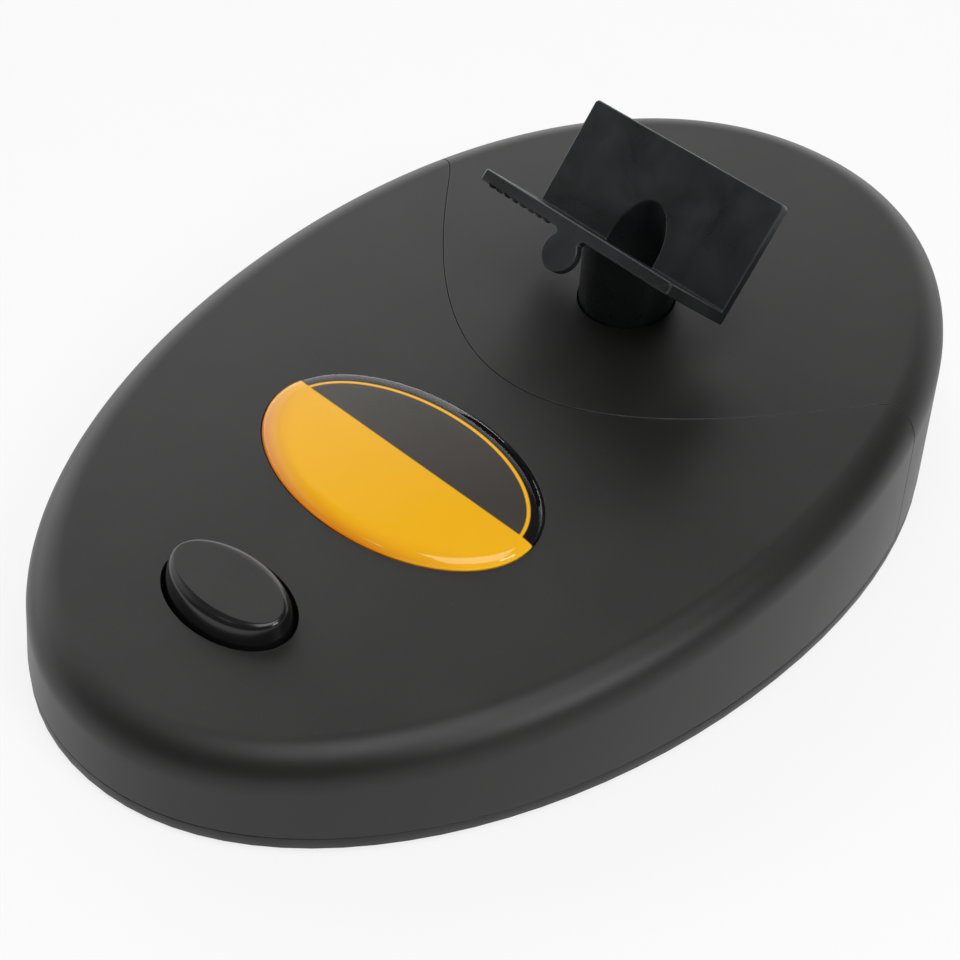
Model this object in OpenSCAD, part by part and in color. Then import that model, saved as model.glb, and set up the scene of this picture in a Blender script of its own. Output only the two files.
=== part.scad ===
// Shaker for nail polish bottles: a wedge-topped oval housing, a press button in front of an oval
// badge, and a V-shaped bottle cradle on a post that swings about its own upright axis.
// +Y runs from the button to the cradle, +X is to the right seen from the button end, +Z is up.
// The origin is on the table, under the middle of the housing. Millimetres.

/* [Housing] */
// Length of the housing, front to rear
body_l = 200; // [190:1:212]
// Width of the housing at its widest
body_w = 134.6; // [130:0.2:140]
// Height of the sloping top above the table, over the origin
top_z = 28.3; // [28:0.1:31]
// Rise of the top per millimetre towards the rear
top_slope = 0.104; // [0.09:0.002:0.12]
// Squareness of the oval plan: 2 is a true ellipse
plan_power = 2.065; // [2:0.005:2.3]
// How much wider the rear half is than the front half, as a share
rear_fullness = 0.048; // [0:0.004:0.08]
// Radius of the rounded upper edge
rim_r = 6.5; // [5:0.5:8]
// How far the side wall leans in before the edge starts
wall_draft = 0.8; // [0:0.1:1.5]
// Wall thickness of the two covers
wall = 2.2; // [1.8:0.1:2.4]

/* [Base] */
// Height of the rubber feet below the base
foot_h = 1; // [0.8:0.1:1.5]
// Thickness of the base plate
base_t = 2.5; // [2.5:0.1:3]
// Radius of a rubber foot
foot_r = 5.5; // [4.5:0.1:6]

/* [Seam between the covers] */
// Where the seam crosses the middle line
seam_front_y = 1.5; // [0:0.5:4]
// Where the seam runs down the side walls
seam_wall_y = 43.5; // [42:0.5:46]
// Width of the open line between the covers
seam_gap = 0.12; // [0.1:0.02:0.4]

/* [Button] */
// Middle of the button along the housing
button_y = -68; // [-69:0.5:-66]
// Half width and half depth of the button where it leaves the cover
button_half = [13.5, 8];
// Width of the open gap round the button
button_gap = 0.8; // [0.6:0.1:1.4]
// Half width and half depth of the button's flat top
button_top_half = [12.1, 5.3];
// Height of the button above the cover
button_rise = 3.8; // [3:0.1:5]
// Height of the rounding of the button's upper edge
button_edge = 1.3; // [0.8:0.1:1.6]
// How far the button is pressed
button_travel = 1.8; // [1:0.1:1.8]

/* [Badge] */
// Middle of the oval badge along the housing
badge_y = -27.6; // [-29:0.2:-26]
// Half width and half depth of the badge
badge_half = [30.4, 18];
// Height of the clear dome above the label
dome_h = 1.5; // [1:0.1:2]

/* [Cradle] */
// Middle of the post along the housing
post_y = 34.3; // [33:0.1:36]
// Outer radius of the post
post_r = 9.3; // [9:0.1:9.8]
// Width of the open gap between the post and the cover
post_gap = 0.2; // [0.2:0.05:0.6]
// Height of the inner crease of the V above the table
crease_z = 42.1; // [41.5:0.1:45]
// How far the crease lies behind the post's axis
crease_y = -0.7; // [-1:0.1:1]
// Half length of the V along its crease
cradle_half = 24; // [20:0.1:26]
// Length of the rear and the front plate, up from the crease
plate_l = [22.1, 20.6];
// Slope of the rear and the front plate, in degrees
plate_slope = [52, 41.1];
// Thickness of the two plates
plate_t = 2.3; // [2:0.1:2.6]
// Radius of the plates' outer corners
corner_r = 1; // [0.5:0.5:4]
// Radius of the round head of a band hook
hook_r = 3.8; // [3.5:0.1:5]
// Length of a band hook from the plate's inner face
hook_reach = 9.3; // [8:0.1:11]
// Width of a band hook's neck
hook_neck = 5.6; // [4:0.2:6]
// Radius of the hook's inner corners, where it leaves the plate
hook_root = 1.2; // [0.8:0.1:1.5]
// Thickness of a band hook
hook_t = 2; // [1.5:0.1:2.2]
// Angle at which the cradle has stopped in its swing, in degrees
rest_yaw = -4.2; // [-5:0.1:5]

/* [Drive] */
// Swing of the cradle to each side, in degrees
swing = 11; // [8:0.5:11]
// Distance from the post's axis to the crank pin
pin_arm = 8.5; // [8:0.1:9]
// Height of the motor's axis above the table
motor_z = 12.5; // [12.5:0.1:13]
// Radius of the motor can, which is flattened above and below
can_r = 10; // [9.8:0.1:10]
// Height of the motor can over its flats
can_h = 15; // [14:0.1:15]
// Rear and front end of the motor can along the housing
can_y = [-9, 16];

/* [Hidden] */
$fn = 64;
sliver = 0.01;
gap = 0.05;         // running clearance and the play between fitted pieces
base_z = foot_h;
floor_z = base_z + base_t;
cover_z = floor_z + 0.1;
plan_steps = 96;
rim_steps = 7;
oval_steps = 72;
plan_half_w = body_w / 2 / (1 + rear_fullness * rear_fullness / 2);
seam_reach = 130;   // the seam is one branch of a hyperbola, drawn by these two
seam_spread = 2.03;
seam_blend = 1.5;

// Battery bay, in the base under the badge
cell_r = 7.25;
cell_l = 49.5;
cell_nub = [2.7, 1];
cell_z = 10.1;
cell_y = [-44, -29];
bay_x = 29;
bay_y = [-52.2, -20.8];
bay_roof_z = 17.6;
bay_wall = 1.3;
door_slide = 6;
door_x = 30.6;
door_y = [-54, -19.2];
door_t = 1.4;
pocket_z = base_z + door_t + 0.2;
tab_y = [-43.5, -27.5];
tab_l = 4.6;
tab_x = 1.7;
contact_t = 0.5;
contact_z = [5, 15.6];

// Screws and the bosses that take them
boss_r = 3.5;
pilot_r = 1.1;
well_r = 4.6;
well_top = 5.4;
front_bosses = [[-30, -76], [30, -76], [-57, -4], [57, -4]];
rear_bosses = [[-48, 52], [48, 52], [0, 84]];
feet = [[-40, -62], [40, -62], [-36, 74], [36, 74]];

// Switch under the button
switch_half = 4.5;
switch_top = floor_z + 5;
plunger_r = 1.6;
plunger_top = switch_top + button_travel + 0.2;
guide_half = button_half + [button_gap, button_gap];
guide_wall = 1.3;
guide_z = 15;
flange_half = guide_half + [guide_wall, guide_wall];
flange_t = 1.25;
cap_wall = 1.8;
plunger_sunk = 1.5;
stem_r = 2.6;
hollow_z = 19.5;

// Motor, crank and the shaft that carries the cradle
pin_throw = pin_arm * sin(swing);
crank_per_swing = 90 / swing;
crank_rest = rest_yaw * crank_per_swing;
shaft_r = 1;
bush_r = 2.2;
pin_r = 1;
hub_y = [18.5, 23.5];
shaft_end_y = 20.9;
pin_y = [21.05, 28];
fork_t = 3;
fork_slot = 2 * pin_r + 1.1;
spindle_r = 4;
spindle_z = [floor_z + 0.75, 31];
bush_seat_top = 8.4;
bush_flange_r = [6.7, 7.5];
rocker_z = [11, 19];
bridge_z = [20.2, 23.2];
bush_boss_top = 25.2;
bridge_post_x = 19;
skirt_z = 26.6;
web_z = [31.1, 33.6];
bore_r = 6;
clamp_post = [15.5, 3.5];
clamp_z = 11.3;
clamp_ear_t = 2.2;
small_head = [2.6, 1.8];    // radius and height of a small screw's head
tooth_pitch = 2.1;
tooth_r = 0.7;
saddle_y = [-6, 9];
corner_ease = 0.05;  // so that a corner's round crosses the plate's edges and doesn't only touch them

// ---- Outlines and forms that several pieces share ----

function signed_power(v, p) = sign(v) * pow(abs(v), p);

// Point of the plan outline at angle t
function plan_point(t) =
    let (along = signed_power(sin(t), 2 / plan_power))
    [plan_half_w * signed_power(cos(t), 2 / plan_power) * (1 + rear_fullness * along),
     body_l / 2 * along];

// Unit vector from the outline to its inside at angle t
function plan_inward(t) =
    let (d = plan_point(t + 0.05) - plan_point(t - 0.05))
    [-d[1], d[0]] / norm(d);

// Plan outline drawn in by inset
function plan_outline(inset) =
    [for (i = [0 : plan_steps - 1])
        let (t = 360 * i / plan_steps)
        plan_point(t) + inset * plan_inward(t)];

function oval(half, steps = oval_steps) =
    [for (i = [0 : steps - 1]) [half[0] * cos(360 * i / steps), half[1] * sin(360 * i / steps)]];

// Height of the top over the point y
function top_at(y) = top_z + top_slope * y;

// Seam in plan: a hyperbola that eases into a straight line across the side walls
function seam_y(x) =
    let (curve = seam_front_y + sqrt(pow(seam_reach, 2) + pow(seam_spread * x, 2)) - seam_reach)
    -seam_blend * ln(exp(-curve / seam_blend) + exp(-seam_wall_y / seam_blend));

// Lays children on the plane of the sloping top, lifted by dz
module on_top(dz = 0) {
    multmatrix([[1, 0, 0, 0], [0, 1, 0, 0], [0, top_slope, 1, top_z + dz], [0, 0, 0, 1]]) children();
}

// One moulded skin: its faces are evaluated together as a single mesh
module one_skin() {
    resize([0, 0, 0]) children();
}

// Solid form of the housing, drawn in by inset all round and above
module body_form(inset, from_z) {
    rim = max(rim_r - inset, 0.5);
    hull() {
        translate([0, 0, from_z]) linear_extrude(sliver) polygon(plan_outline(inset));
        for (i = [0 : rim_steps]) {
            a = 90 * i / rim_steps;
            on_top(-inset - rim + rim * sin(a) - sliver)
                linear_extrude(sliver)
                    polygon(plan_outline(inset + wall_draft + rim * (1 - cos(a))));
        }
    }
}

// Everything behind the seam, or in front of it, with the edge moved rearwards by shift
module seam_side(rear, shift) {
    far = rear ? 130 : -130;
    linear_extrude(80)
        polygon(concat([for (x = [-80 : 2.5 : 80]) [x, seam_y(x) + shift]], [[80, far], [-80, far]]));
}

// Band that follows the seam just under the covers' inner face
module seam_band(inset, thickness, from, to) {
    intersection() {
        difference() {
            body_form(inset, cover_z + 3);
            body_form(inset + thickness, cover_z);
        }
        difference() {
            seam_side(true, from);
            seam_side(true, to);
        }
    }
}

module hollow_form() {
    difference() {
        body_form(0, cover_z);
        body_form(wall, cover_z - 1);
    }
}

// Screw bosses that hang from a cover's inner face, drilled from below
module hanging_bosses(places) {
    difference() {
        intersection() {
            union() for (p = places)
                translate([p[0], p[1], well_top + gap]) cylinder(r = boss_r, h = 40, $fn = 24);
            body_form(wall / 2, cover_z);
        }
        for (p = places)
            translate([p[0], p[1], well_top]) cylinder(r = pilot_r, h = 9, $fn = 24);
    }
}

// Pan-head screw, head down at z = 0, shank upwards
module screw(head_r, head_h, shank_r, length) {
    difference() {
        cylinder(r = head_r, h = head_h, $fn = 32);
        for (a = [0, 90])
            rotate(a) translate([-head_r * 0.65, -0.3, -1]) cube([head_r * 1.3, 0.6, 1.8]);
    }
    translate([0, 0, head_h]) cylinder(r = shank_r, h = length, $fn = 32);
}

// Section of the motor can, grown by extra, from y0 to y1
module can_section(extra, y0, y1) {
    translate([0, y0, motor_z]) rotate([-90, 0, 0])
        intersection() {
            cylinder(r = can_r + extra, h = y1 - y0);
            translate([-30, -can_h / 2 - extra, -1]) cube([60, can_h + 2 * extra, y1 - y0 + 2]);
        }
}

// Round bar along Y on the motor's axis
module on_motor_axis(y0) {
    translate([0, y0, motor_z]) rotate([-90, 0, 0]) children();
}

// Turns children about the motor's axis to where the crank stands at rest
module at_crank_rest() {
    translate([0, 0, motor_z]) rotate([0, crank_rest, 0]) translate([0, 0, -motor_z]) children();
}

// Turns children about the post's axis to where the cradle stands at rest
module at_cradle_rest() {
    translate([0, post_y, 0]) rotate(rest_yaw) children();
}

// ---- Swept tubes: springs and leads ----

function unit(v) = v / norm(v);

// Rings of a tube of radius r round a path, with the flat seen along up
function tube_points(path, r, sides, up) =
    [for (i = [0 : len(path) - 1])
        let (
            ahead = path[min(i + 1, len(path) - 1)],
            behind = path[max(i - 1, 0)],
            along = unit(ahead - behind),
            across = unit(cross(along, up)),
            over = cross(across, along)
        )
        for (k = [0 : sides - 1])
            path[i] + r * (cos(360 * k / sides) * across + sin(360 * k / sides) * over)];

function tube_faces(rings, sides) = concat(
    [[for (k = [sides - 1 : -1 : 0]) k]],
    [for (i = [0 : rings - 2]) for (k = [0 : sides - 1])
        let (a = i * sides + k, b = i * sides + (k + 1) % sides)
        [a, b, b + sides, a + sides]],
    [[for (k = [0 : sides - 1]) (rings - 1) * sides + k]]
);

module tube(path, r, sides, up) {
    polyhedron(tube_points(path, r, sides, up), tube_faces(len(path), sides));
}

// Helix whose radius runs from r0 to r1 over its height, ends laid flat for half a turn
function coil_path(r0, r1, height, turns, steps) =
    [for (i = [0 : turns * steps])
        let (
            f = i / (turns * steps),
            flat = 0.5 / turns,
            rise = min(max((f - flat) / (1 - 2 * flat), 0), 1),
            r = r0 + (r1 - r0) * f
        )
        [r * cos(360 * i / steps), r * sin(360 * i / steps), height * rise]];

// Point at share f of the bend round b that starts half way from a and ends half way to c
function bend(a, b, c, f) =
    let (p = (a + b) / 2, q = (b + c) / 2)
    (1 - f) * (1 - f) * p + 2 * f * (1 - f) * b + f * f * q;

// Smooth route through a list of corners, straight at both ends
function route(corners, steps = 5) = concat(
    [corners[0]],
    [for (i = [1 : len(corners) - 2]) for (k = [0 : steps])
        bend(corners[i - 1], corners[i], corners[i + 1], k / (steps + 0.5))],
    [corners[len(corners) - 1]]
);

// ---- Housing ----

module front_cover() {
    color("#2b2b2d") one_skin() difference() {
        union() {
            intersection() {
                hollow_form();
                seam_side(false, -seam_gap / 2);
            }
            // lip that reaches under the rear cover and closes the seam
            seam_band(wall - 0.1, 1.4, -4, -seam_gap / 2);
            seam_band(wall + 0.25, 1.05, -4, 3.5);
            hanging_bosses(front_bosses);
            // guide round the button's well
            translate([0, button_y, guide_z])
                linear_extrude(top_at(button_y) - guide_z - 1)
                    polygon(oval(guide_half + [guide_wall, guide_wall]));
        }
        translate([0, button_y, guide_z - 1]) linear_extrude(30) polygon(oval(guide_half));
        // shallow seat of the badge
        translate([0, badge_y, 0])
            on_top(-0.5 + top_slope * badge_y) linear_extrude(5) polygon(oval(badge_half + [0.25, 0.25]));
    }
}

module rear_cover() {
    color("#2b2b2d") one_skin() difference() {
        union() {
            intersection() {
                hollow_form();
                seam_side(true, seam_gap / 2);
            }
            hanging_bosses(rear_bosses);
        }
        translate([0, post_y, 0]) cylinder(r = post_r + post_gap, h = 60, $fn = 72);
    }
}

module screw_well(p) {
    translate([p[0], p[1], base_z]) cylinder(r = well_r, h = well_top - base_z);
}

module base_plate() {
    color("#242426") difference() {
        union() {
            translate([0, 0, base_z]) linear_extrude(base_t) polygon(plan_outline(0));
            // rib that centres the covers
            translate([0, 0, floor_z - 0.5]) linear_extrude(2.5) difference() {
                polygon(plan_outline(wall + 0.25));
                polygon(plan_outline(wall + 1.5));
            }
            // battery bay
            translate([-bay_x - bay_wall, bay_y[0] - bay_wall, base_z + 0.1])
                cube([2 * (bay_x + bay_wall), bay_y[1] - bay_y[0] + 2 * bay_wall, bay_roof_z + 1.2 - base_z]);
            for (p = concat(front_bosses, rear_bosses)) screw_well(p);
            // seat of the lower bush
            translate([0, post_y, floor_z - 0.5]) cylinder(r = 8.5, h = bush_seat_top - floor_z + 0.5);
            // posts of the bearing bridge
            for (s = [-1, 1]) translate([s * bridge_post_x, post_y, floor_z - 0.5])
                cylinder(r = 4, h = bridge_z[0] - floor_z + 0.5);
            // saddles and posts of the motor
            for (y = saddle_y) translate([-13, y, floor_z - 0.5]) cube([26, 2.5, 8]);
            for (s = [-1, 1]) translate([s * clamp_post[0], clamp_post[1], floor_z - 0.5])
                cylinder(r = 3.6, h = clamp_z - 0.1 - floor_z + 0.5);
            // rails of the switch
            for (s = [-1, 1]) translate([-4, button_y + s * 5.4 - 0.75, floor_z - 0.5]) cube([8, 1.5, 3]);
        }
        // inside of the battery bay
        translate([-bay_x, bay_y[0], 0]) cube([2 * bay_x, bay_y[1] - bay_y[0], bay_roof_z]);
        // pocket that the door slides in
        translate([-door_x - 0.2, door_y[0] - door_slide - 0.3, 0])
            cube([2 * door_x + 0.4, door_y[1] - door_y[0] + door_slide + 0.6, pocket_z]);
        // grooves that hold the door's tabs, open below where the tabs come free
        for (s = [-1, 1], y = tab_y) {
            translate([s * (door_x + tab_x / 2), y - door_slide / 2, base_z + 1.15])
                cube([tab_x + 0.8, tab_l + door_slide + 0.6, 0.9], center = true);
            translate([s * (door_x + tab_x / 2), y - door_slide, base_z])
                cube([tab_x + 0.8, tab_l + 0.6, 2], center = true);
        }
        // slots for the ends of the contacts
        for (y = cell_y) translate([bay_x + 0.5, y, 14.9]) cube([4, 3.2, 1.6], center = true);
        for (p = concat(front_bosses, rear_bosses)) translate([p[0], p[1], 0]) {
            cylinder(r = 3.1, h = base_z + 2.6);
            cylinder(r = 1.6, h = 10);
        }
        for (p = feet) translate([p[0], p[1], 0]) cylinder(r = foot_r + gap, h = base_z + 0.6);
        translate([0, post_y, floor_z]) cylinder(r = 6 + gap, h = 10);
        for (s = [-1, 1]) translate([s * bridge_post_x, post_y, bridge_z[0] - 10])
            cylinder(r = pilot_r, h = 20);
        can_section(0.08, -20, 17);
        for (s = [-1, 1]) translate([s * clamp_post[0], clamp_post[1], 5]) cylinder(r = pilot_r, h = 10);
    }
}

module battery_door() {
    color("#242426") difference() {
        union() {
            translate([-door_x, door_y[0], base_z + gap])
                cube([2 * door_x, door_y[1] - door_y[0], door_t]);
            for (s = [-1, 1], y = tab_y)
                translate([s * (door_x + tab_x / 2 - 0.2), y, base_z + 1.15])
                    cube([tab_x, tab_l, 0.6], center = true);
        }
        // grooves for the thumb
        for (i = [0 : 4]) translate([-8, door_y[0] + 4 + 2 * i, base_z - 1]) cube([16, 1, 1.5]);
    }
}

module foot(p) {
    color("#1a1a1a") translate([p[0], p[1], 0]) {
        cylinder(r1 = foot_r - 0.5, r2 = foot_r, h = 0.6);
        translate([0, 0, 0.6]) cylinder(r = foot_r, h = base_z - 0.05);
    }
}

module cover_screws() {
    color("#9a9a9c") for (p = concat(front_bosses, rear_bosses))
        translate([p[0], p[1], base_z + 0.4]) screw(2.8, 2.15, pilot_r - 0.02, 8);
}

// ---- Badge ----

module badge_label() {
    color("#f7b32b") translate([0, badge_y, 0])
        on_top(-0.45 + top_slope * badge_y) linear_extrude(0.4) polygon(oval(badge_half));
}

module badge_dome() {
    color("#f3c04d", 0.4) translate([0, badge_y, 0]) hull() for (i = [0 : 5]) {
        f = i / 5;
        on_top(top_slope * badge_y + dome_h * sin(90 * f))
            linear_extrude(sliver) polygon(oval(badge_half - [1, 1] * 3.2 * (1 - cos(90 * f))));
    }
}

// ---- Button and switch ----

// Thin slice of the cap, lift above the cover; share runs from its foot to its flat top
module cap_slice(lift, share) {
    on_top(top_slope * button_y + lift - sliver) linear_extrude(sliver)
        polygon(oval(button_half + (button_top_half - button_half) * share));
}

module push_button() {
    side_share = 0.3;
    color("#161617") translate([0, button_y, 0]) {
        difference() {
            one_skin() hull() {
                translate([0, 0, guide_z - 0.05]) linear_extrude(sliver) polygon(oval(button_half));
                cap_slice(0.9, 0);
                for (i = [0 : 4]) {
                    a = 90 * i / 4;
                    cap_slice(button_rise - button_edge * (1 - sin(a)), 1 - (1 - side_share) * cos(a));
                }
            }
            translate([0, 0, 10]) linear_extrude(hollow_z - 10)
                polygon(oval(button_half - [cap_wall, cap_wall]));
        }
        translate([0, 0, guide_z - 0.05 - flange_t]) linear_extrude(flange_t) difference() {
            polygon(oval(flange_half));
            polygon(oval(button_half - [cap_wall, cap_wall]));
        }
        translate([0, 0, plunger_top]) cylinder(r = stem_r, h = hollow_z - plunger_top + 0.5);
    }
}

module button_spring() {
    height = hollow_z - switch_top - 0.8;
    color("#c9c9c9") translate([0, button_y, switch_top + 0.4])
        tube(coil_path(3.7, 3.7, height, 7, 12), 0.3, 6, [0, 0, 1]);
}

module switch_body() {
    color("#303236") translate([0, button_y, floor_z]) difference() {
        translate([-switch_half, -switch_half, 0]) cube([2 * switch_half, 2 * switch_half, 5]);
        translate([0, 0, 1.4]) cylinder(r = plunger_r + gap, h = 5);
    }
}

module switch_plunger() {
    color("#e6e4dc") translate([0, button_y, switch_top - plunger_sunk])
        cylinder(r = plunger_r, h = plunger_top - switch_top + plunger_sunk);
}

module switch_tags() {
    color("#c8b070") for (s = [-1, 1])
        translate([s * (switch_half + 1.4), button_y, floor_z + 1.2]) cube([2.8, 2.2, 0.4], center = true);
}

// ---- Battery cells and their contacts ----

// One cell along X; side = 1 puts its raised end to the right
module cell(y, side) {
    translate([0, y, cell_z]) rotate([0, 90 * side, 0]) translate([0, 0, -cell_l / 2]) {
        cylinder(r = cell_r, h = cell_l);
        cylinder(r = cell_nub[0], h = cell_l + cell_nub[1]);
    }
}

module battery_cell_front() {
    color("#3d6a4a") cell(cell_y[0], 1);
}

module battery_cell_rear() {
    color("#3d6a4a") cell(cell_y[1], -1);
}

// Flat contact against the bay's end wall on the given side
module contact_plate(side, y0, y1) {
    x = side > 0 ? bay_x - contact_t - 0.02 : -bay_x + 0.02;
    translate([x, y0, contact_z[0]]) cube([contact_t, y1 - y0, contact_z[1] - contact_z[0]]);
}

// Cone-shaped contact spring from the plate to the flat end of a cell
module cell_spring(side, y) {
    reach = bay_x - contact_t - cell_l / 2 - 0.8;
    translate([side * (bay_x - contact_t - 0.35), y, cell_z]) rotate([0, -90 * side, 0])
        tube(coil_path(4.4, 2.3, reach, 3, 12), 0.3, 6, [0, 0, 1]);
}

// Raised stud that meets a cell's nub
module contact_stud(side, y) {
    reach = bay_x - contact_t - cell_l / 2 - cell_nub[1] - 0.1;
    translate([side * (bay_x - contact_t + 0.1), y, cell_z]) rotate([0, -90 * side, 0])
        cylinder(r1 = 3.4, r2 = 2.4, h = reach);
}

// Tag that passes out through the slot in the bay's wall
module contact_tag(y) {
    translate([bay_x - contact_t, y - 1.2, 14.6]) cube([5, 2.4, 0.5]);
}

module bridge_contact() {
    color("#cfcfcf") {
        contact_plate(-1, cell_y[0] - 5.5, cell_y[1] + 5.5);
        cell_spring(-1, cell_y[0]);
        contact_stud(-1, cell_y[1]);
    }
}

module plus_contact() {
    color("#cfcfcf") {
        contact_plate(1, cell_y[0] - 5.5, cell_y[0] + 5.5);
        contact_stud(1, cell_y[0]);
        contact_tag(cell_y[0]);
    }
}

module minus_contact() {
    color("#cfcfcf") {
        contact_plate(1, cell_y[1] - 5.5, cell_y[1] + 5.5);
        cell_spring(1, cell_y[1]);
        contact_tag(cell_y[1]);
    }
}

// ---- Motor ----

module motor_can() {
    color("#b9bcc0") difference() {
        union() {
            can_section(0, can_y[0], can_y[1]);
            on_motor_axis(can_y[1] - 0.5) cylinder(r = 3.2, h = 1.7);
        }
        can_section(-0.8, can_y[0] - 1, can_y[1] - 0.8);
        on_motor_axis(can_y[1] - 3) cylinder(r = bush_r + 0.02, h = 6);
    }
}

module motor_end_bell() {
    color("#e8e6df") difference() {
        union() {
            can_section(0, can_y[0] - 2, can_y[0] - 0.02);
            can_section(-0.85, can_y[0] - 1, can_y[0] + 2.5);
            on_motor_axis(can_y[0] - 3.4) cylinder(r = 3.6, h = 2);
        }
        on_motor_axis(can_y[0] - 5) cylinder(r = bush_r + 0.02, h = 10);
    }
}

module motor_terminals() {
    color("#d0b060") for (s = [-1, 1])
        translate([s * 6, can_y[0] - 3.8, motor_z]) cube([2.4, 3.6, 0.4], center = true);
}

module motor_magnets() {
    color("#4a4642") on_motor_axis(1) for (s = [0, 180])
        rotate(s - 42) rotate_extrude(angle = 84) translate([6.4, 0]) square([2.7, 13]);
}

module motor_brushes() {
    color("#5a4030") for (s = [-1, 1]) translate([s * (2.25 + 1), can_y[0] + 2.55, motor_z]) {
        translate([-1, 0.9, -1]) cube([2, 2, 2]);
        translate([s > 0 ? 0.6 : -1, 0, -1]) cube([0.4, 1, 2]);
    }
}

module motor_front_bush() {
    color("#b08d57") on_motor_axis(can_y[1] - 2.2) difference() {
        cylinder(r = bush_r, h = 3.4);
        translate([0, 0, -1]) cylinder(r = shaft_r + 0.04, h = 6);
    }
}

module motor_rear_bush() {
    color("#b08d57") on_motor_axis(can_y[0] - 3.4) difference() {
        cylinder(r = bush_r, h = 3.8);
        translate([0, 0, -1]) cylinder(r = shaft_r + 0.04, h = 6);
    }
}

module motor_shaft() {
    color("#c8c8cc") on_motor_axis(can_y[0] - 3.2) cylinder(r = shaft_r, h = shaft_end_y - can_y[0] + 3.2);
}

module armature_core() {
    color("#8d8f94") on_motor_axis(1.5) difference() {
        union() {
            cylinder(r = 2.4, h = 12);
            for (a = [0, 120, 240]) rotate(a) {
                translate([0, -1.1, 0]) cube([5.4, 2.2, 12]);
                rotate(-48) rotate_extrude(angle = 96) translate([5, 0]) square([1, 12]);
            }
        }
        translate([0, 0, -1]) cylinder(r = shaft_r + 0.02, h = 20);
    }
}

module armature_windings() {
    color("#b5672c") on_motor_axis(0.4) for (a = [0, 120, 240]) rotate(a) difference() {
        translate([2.5, -2.4, 0]) cube([1.8, 4.8, 14.2]);
        translate([2, -1.15, 1.05]) cube([4, 2.3, 12.1]);
    }
}

module commutator() {
    color("#c07840") on_motor_axis(can_y[0] + 3) difference() {
        cylinder(r = bush_r, h = 5);
        translate([0, 0, -1]) cylinder(r = shaft_r + 0.02, h = 10);
        for (a = [0, 120, 240]) rotate(a) translate([1.7, -0.15, -1]) cube([2, 0.3, 10]);
    }
}

module motor_clamp() {
    color("#3a3a3d") difference() {
        union() {
            translate([-12.2, 0, clamp_z]) cube([24.4, 7, 10.4]);
            translate([-19.2, 0, clamp_z]) cube([38.4, 7, clamp_ear_t]);
        }
        can_section(0.1, -1, 8);
        for (s = [-1, 1]) translate([s * clamp_post[0], clamp_post[1], 10]) cylinder(r = 1.5, h = 10);
    }
}

module clamp_screws() {
    color("#9a9a9c") for (s = [-1, 1])
        translate([s * clamp_post[0], clamp_post[1], clamp_z + clamp_ear_t + gap + small_head[1]])
            mirror([0, 0, 1]) screw(small_head[0], small_head[1], pilot_r - 0.02, 8);
}

module eccentric_hub() {
    color("#d9d7ce") at_crank_rest() difference() {
        on_motor_axis(hub_y[0]) cylinder(r = 4.5, h = hub_y[1] - hub_y[0]);
        on_motor_axis(hub_y[0] - 1) cylinder(r = shaft_r + 0.02, h = shaft_end_y - hub_y[0] + 1.05);
        translate([0, 0, pin_throw]) on_motor_axis(pin_y[0]) cylinder(r = pin_r + 0.02, h = 5);
    }
}

module crank_pin() {
    color("#c8c8cc") at_crank_rest() translate([0, 0, pin_throw])
        on_motor_axis(pin_y[0] + 0.02) cylinder(r = pin_r, h = pin_y[1] - pin_y[0]);
}

// ---- Swinging shaft, its bearings and the cradle ----

module rocker_arm() {
    fork_half = fork_slot / 2 + 1.8;
    fork_y = -pin_arm - fork_t / 2;
    color("#e4e2da") at_cradle_rest() difference() {
        union() {
            translate([0, 0, rocker_z[0]]) cylinder(r = 6.6, h = rocker_z[1] - rocker_z[0]);
            translate([-fork_half, fork_y, rocker_z[1] - 3]) cube([2 * fork_half, -fork_y - 3, 3]);
            translate([-fork_half, fork_y, 8.8]) cube([2 * fork_half, fork_t, rocker_z[1] - 8.8]);
        }
        translate([0, 0, rocker_z[0] - 1]) cylinder(r = spindle_r + 0.02, h = 20);
        translate([-fork_slot / 2, fork_y - 1, 8]) cube([fork_slot, fork_t + 2.2, 8]);
        translate([-10, 0, 14]) rotate([0, 90, 0]) cylinder(r = 1.02, h = 20);
    }
}

module rocker_pin() {
    color("#b5b5b8") at_cradle_rest()
        translate([-6.4, 0, 14]) rotate([0, 90, 0]) cylinder(r = 1, h = 12.8);
}

module spindle() {
    color("#c8c8cc") at_cradle_rest() difference() {
        translate([0, 0, spindle_z[0]]) cylinder(r = spindle_r, h = spindle_z[1] - spindle_z[0]);
        translate([-10, 0, 14]) rotate([0, 90, 0]) cylinder(r = 1.02, h = 20);
        translate([0, 0, 22]) cylinder(r = 1.5, h = 20);
        // flat that keys the cradle
        translate([-10, spindle_r - 1, skirt_z + 0.3]) cube([20, 5, 10]);
    }
}

module thrust_washer() {
    color("#b08d57") translate([0, post_y, floor_z + 0.02]) cylinder(r = 5.9, h = 0.68);
}

// Flanged bush from z0 to z1, bored for the spindle, with its flange on top
module spindle_bush(z0, z1, flange_r) {
    color("#b08d57") translate([0, post_y, 0]) difference() {
        union() {
            translate([0, 0, z0]) cylinder(r = 6, h = z1 - z0 + 0.5);
            translate([0, 0, z1 + 0.02]) cylinder(r = flange_r, h = 0.8);
        }
        cylinder(r = spindle_r + gap, h = 60);
    }
}

module bearing_bridge() {
    color("#3a3a3d") difference() {
        union() {
            translate([-23, post_y - 6, bridge_z[0] + 0.02]) cube([46, 12, bridge_z[1] - bridge_z[0]]);
            translate([0, post_y, bridge_z[0] + 0.02])
                cylinder(r = 8.4, h = bush_boss_top - bridge_z[0] - 0.02);
        }
        translate([0, post_y, 0]) cylinder(r = 6 + gap, h = 60);
        for (s = [-1, 1]) translate([s * bridge_post_x, post_y, 0]) cylinder(r = 1.5, h = 60);
    }
}

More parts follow.
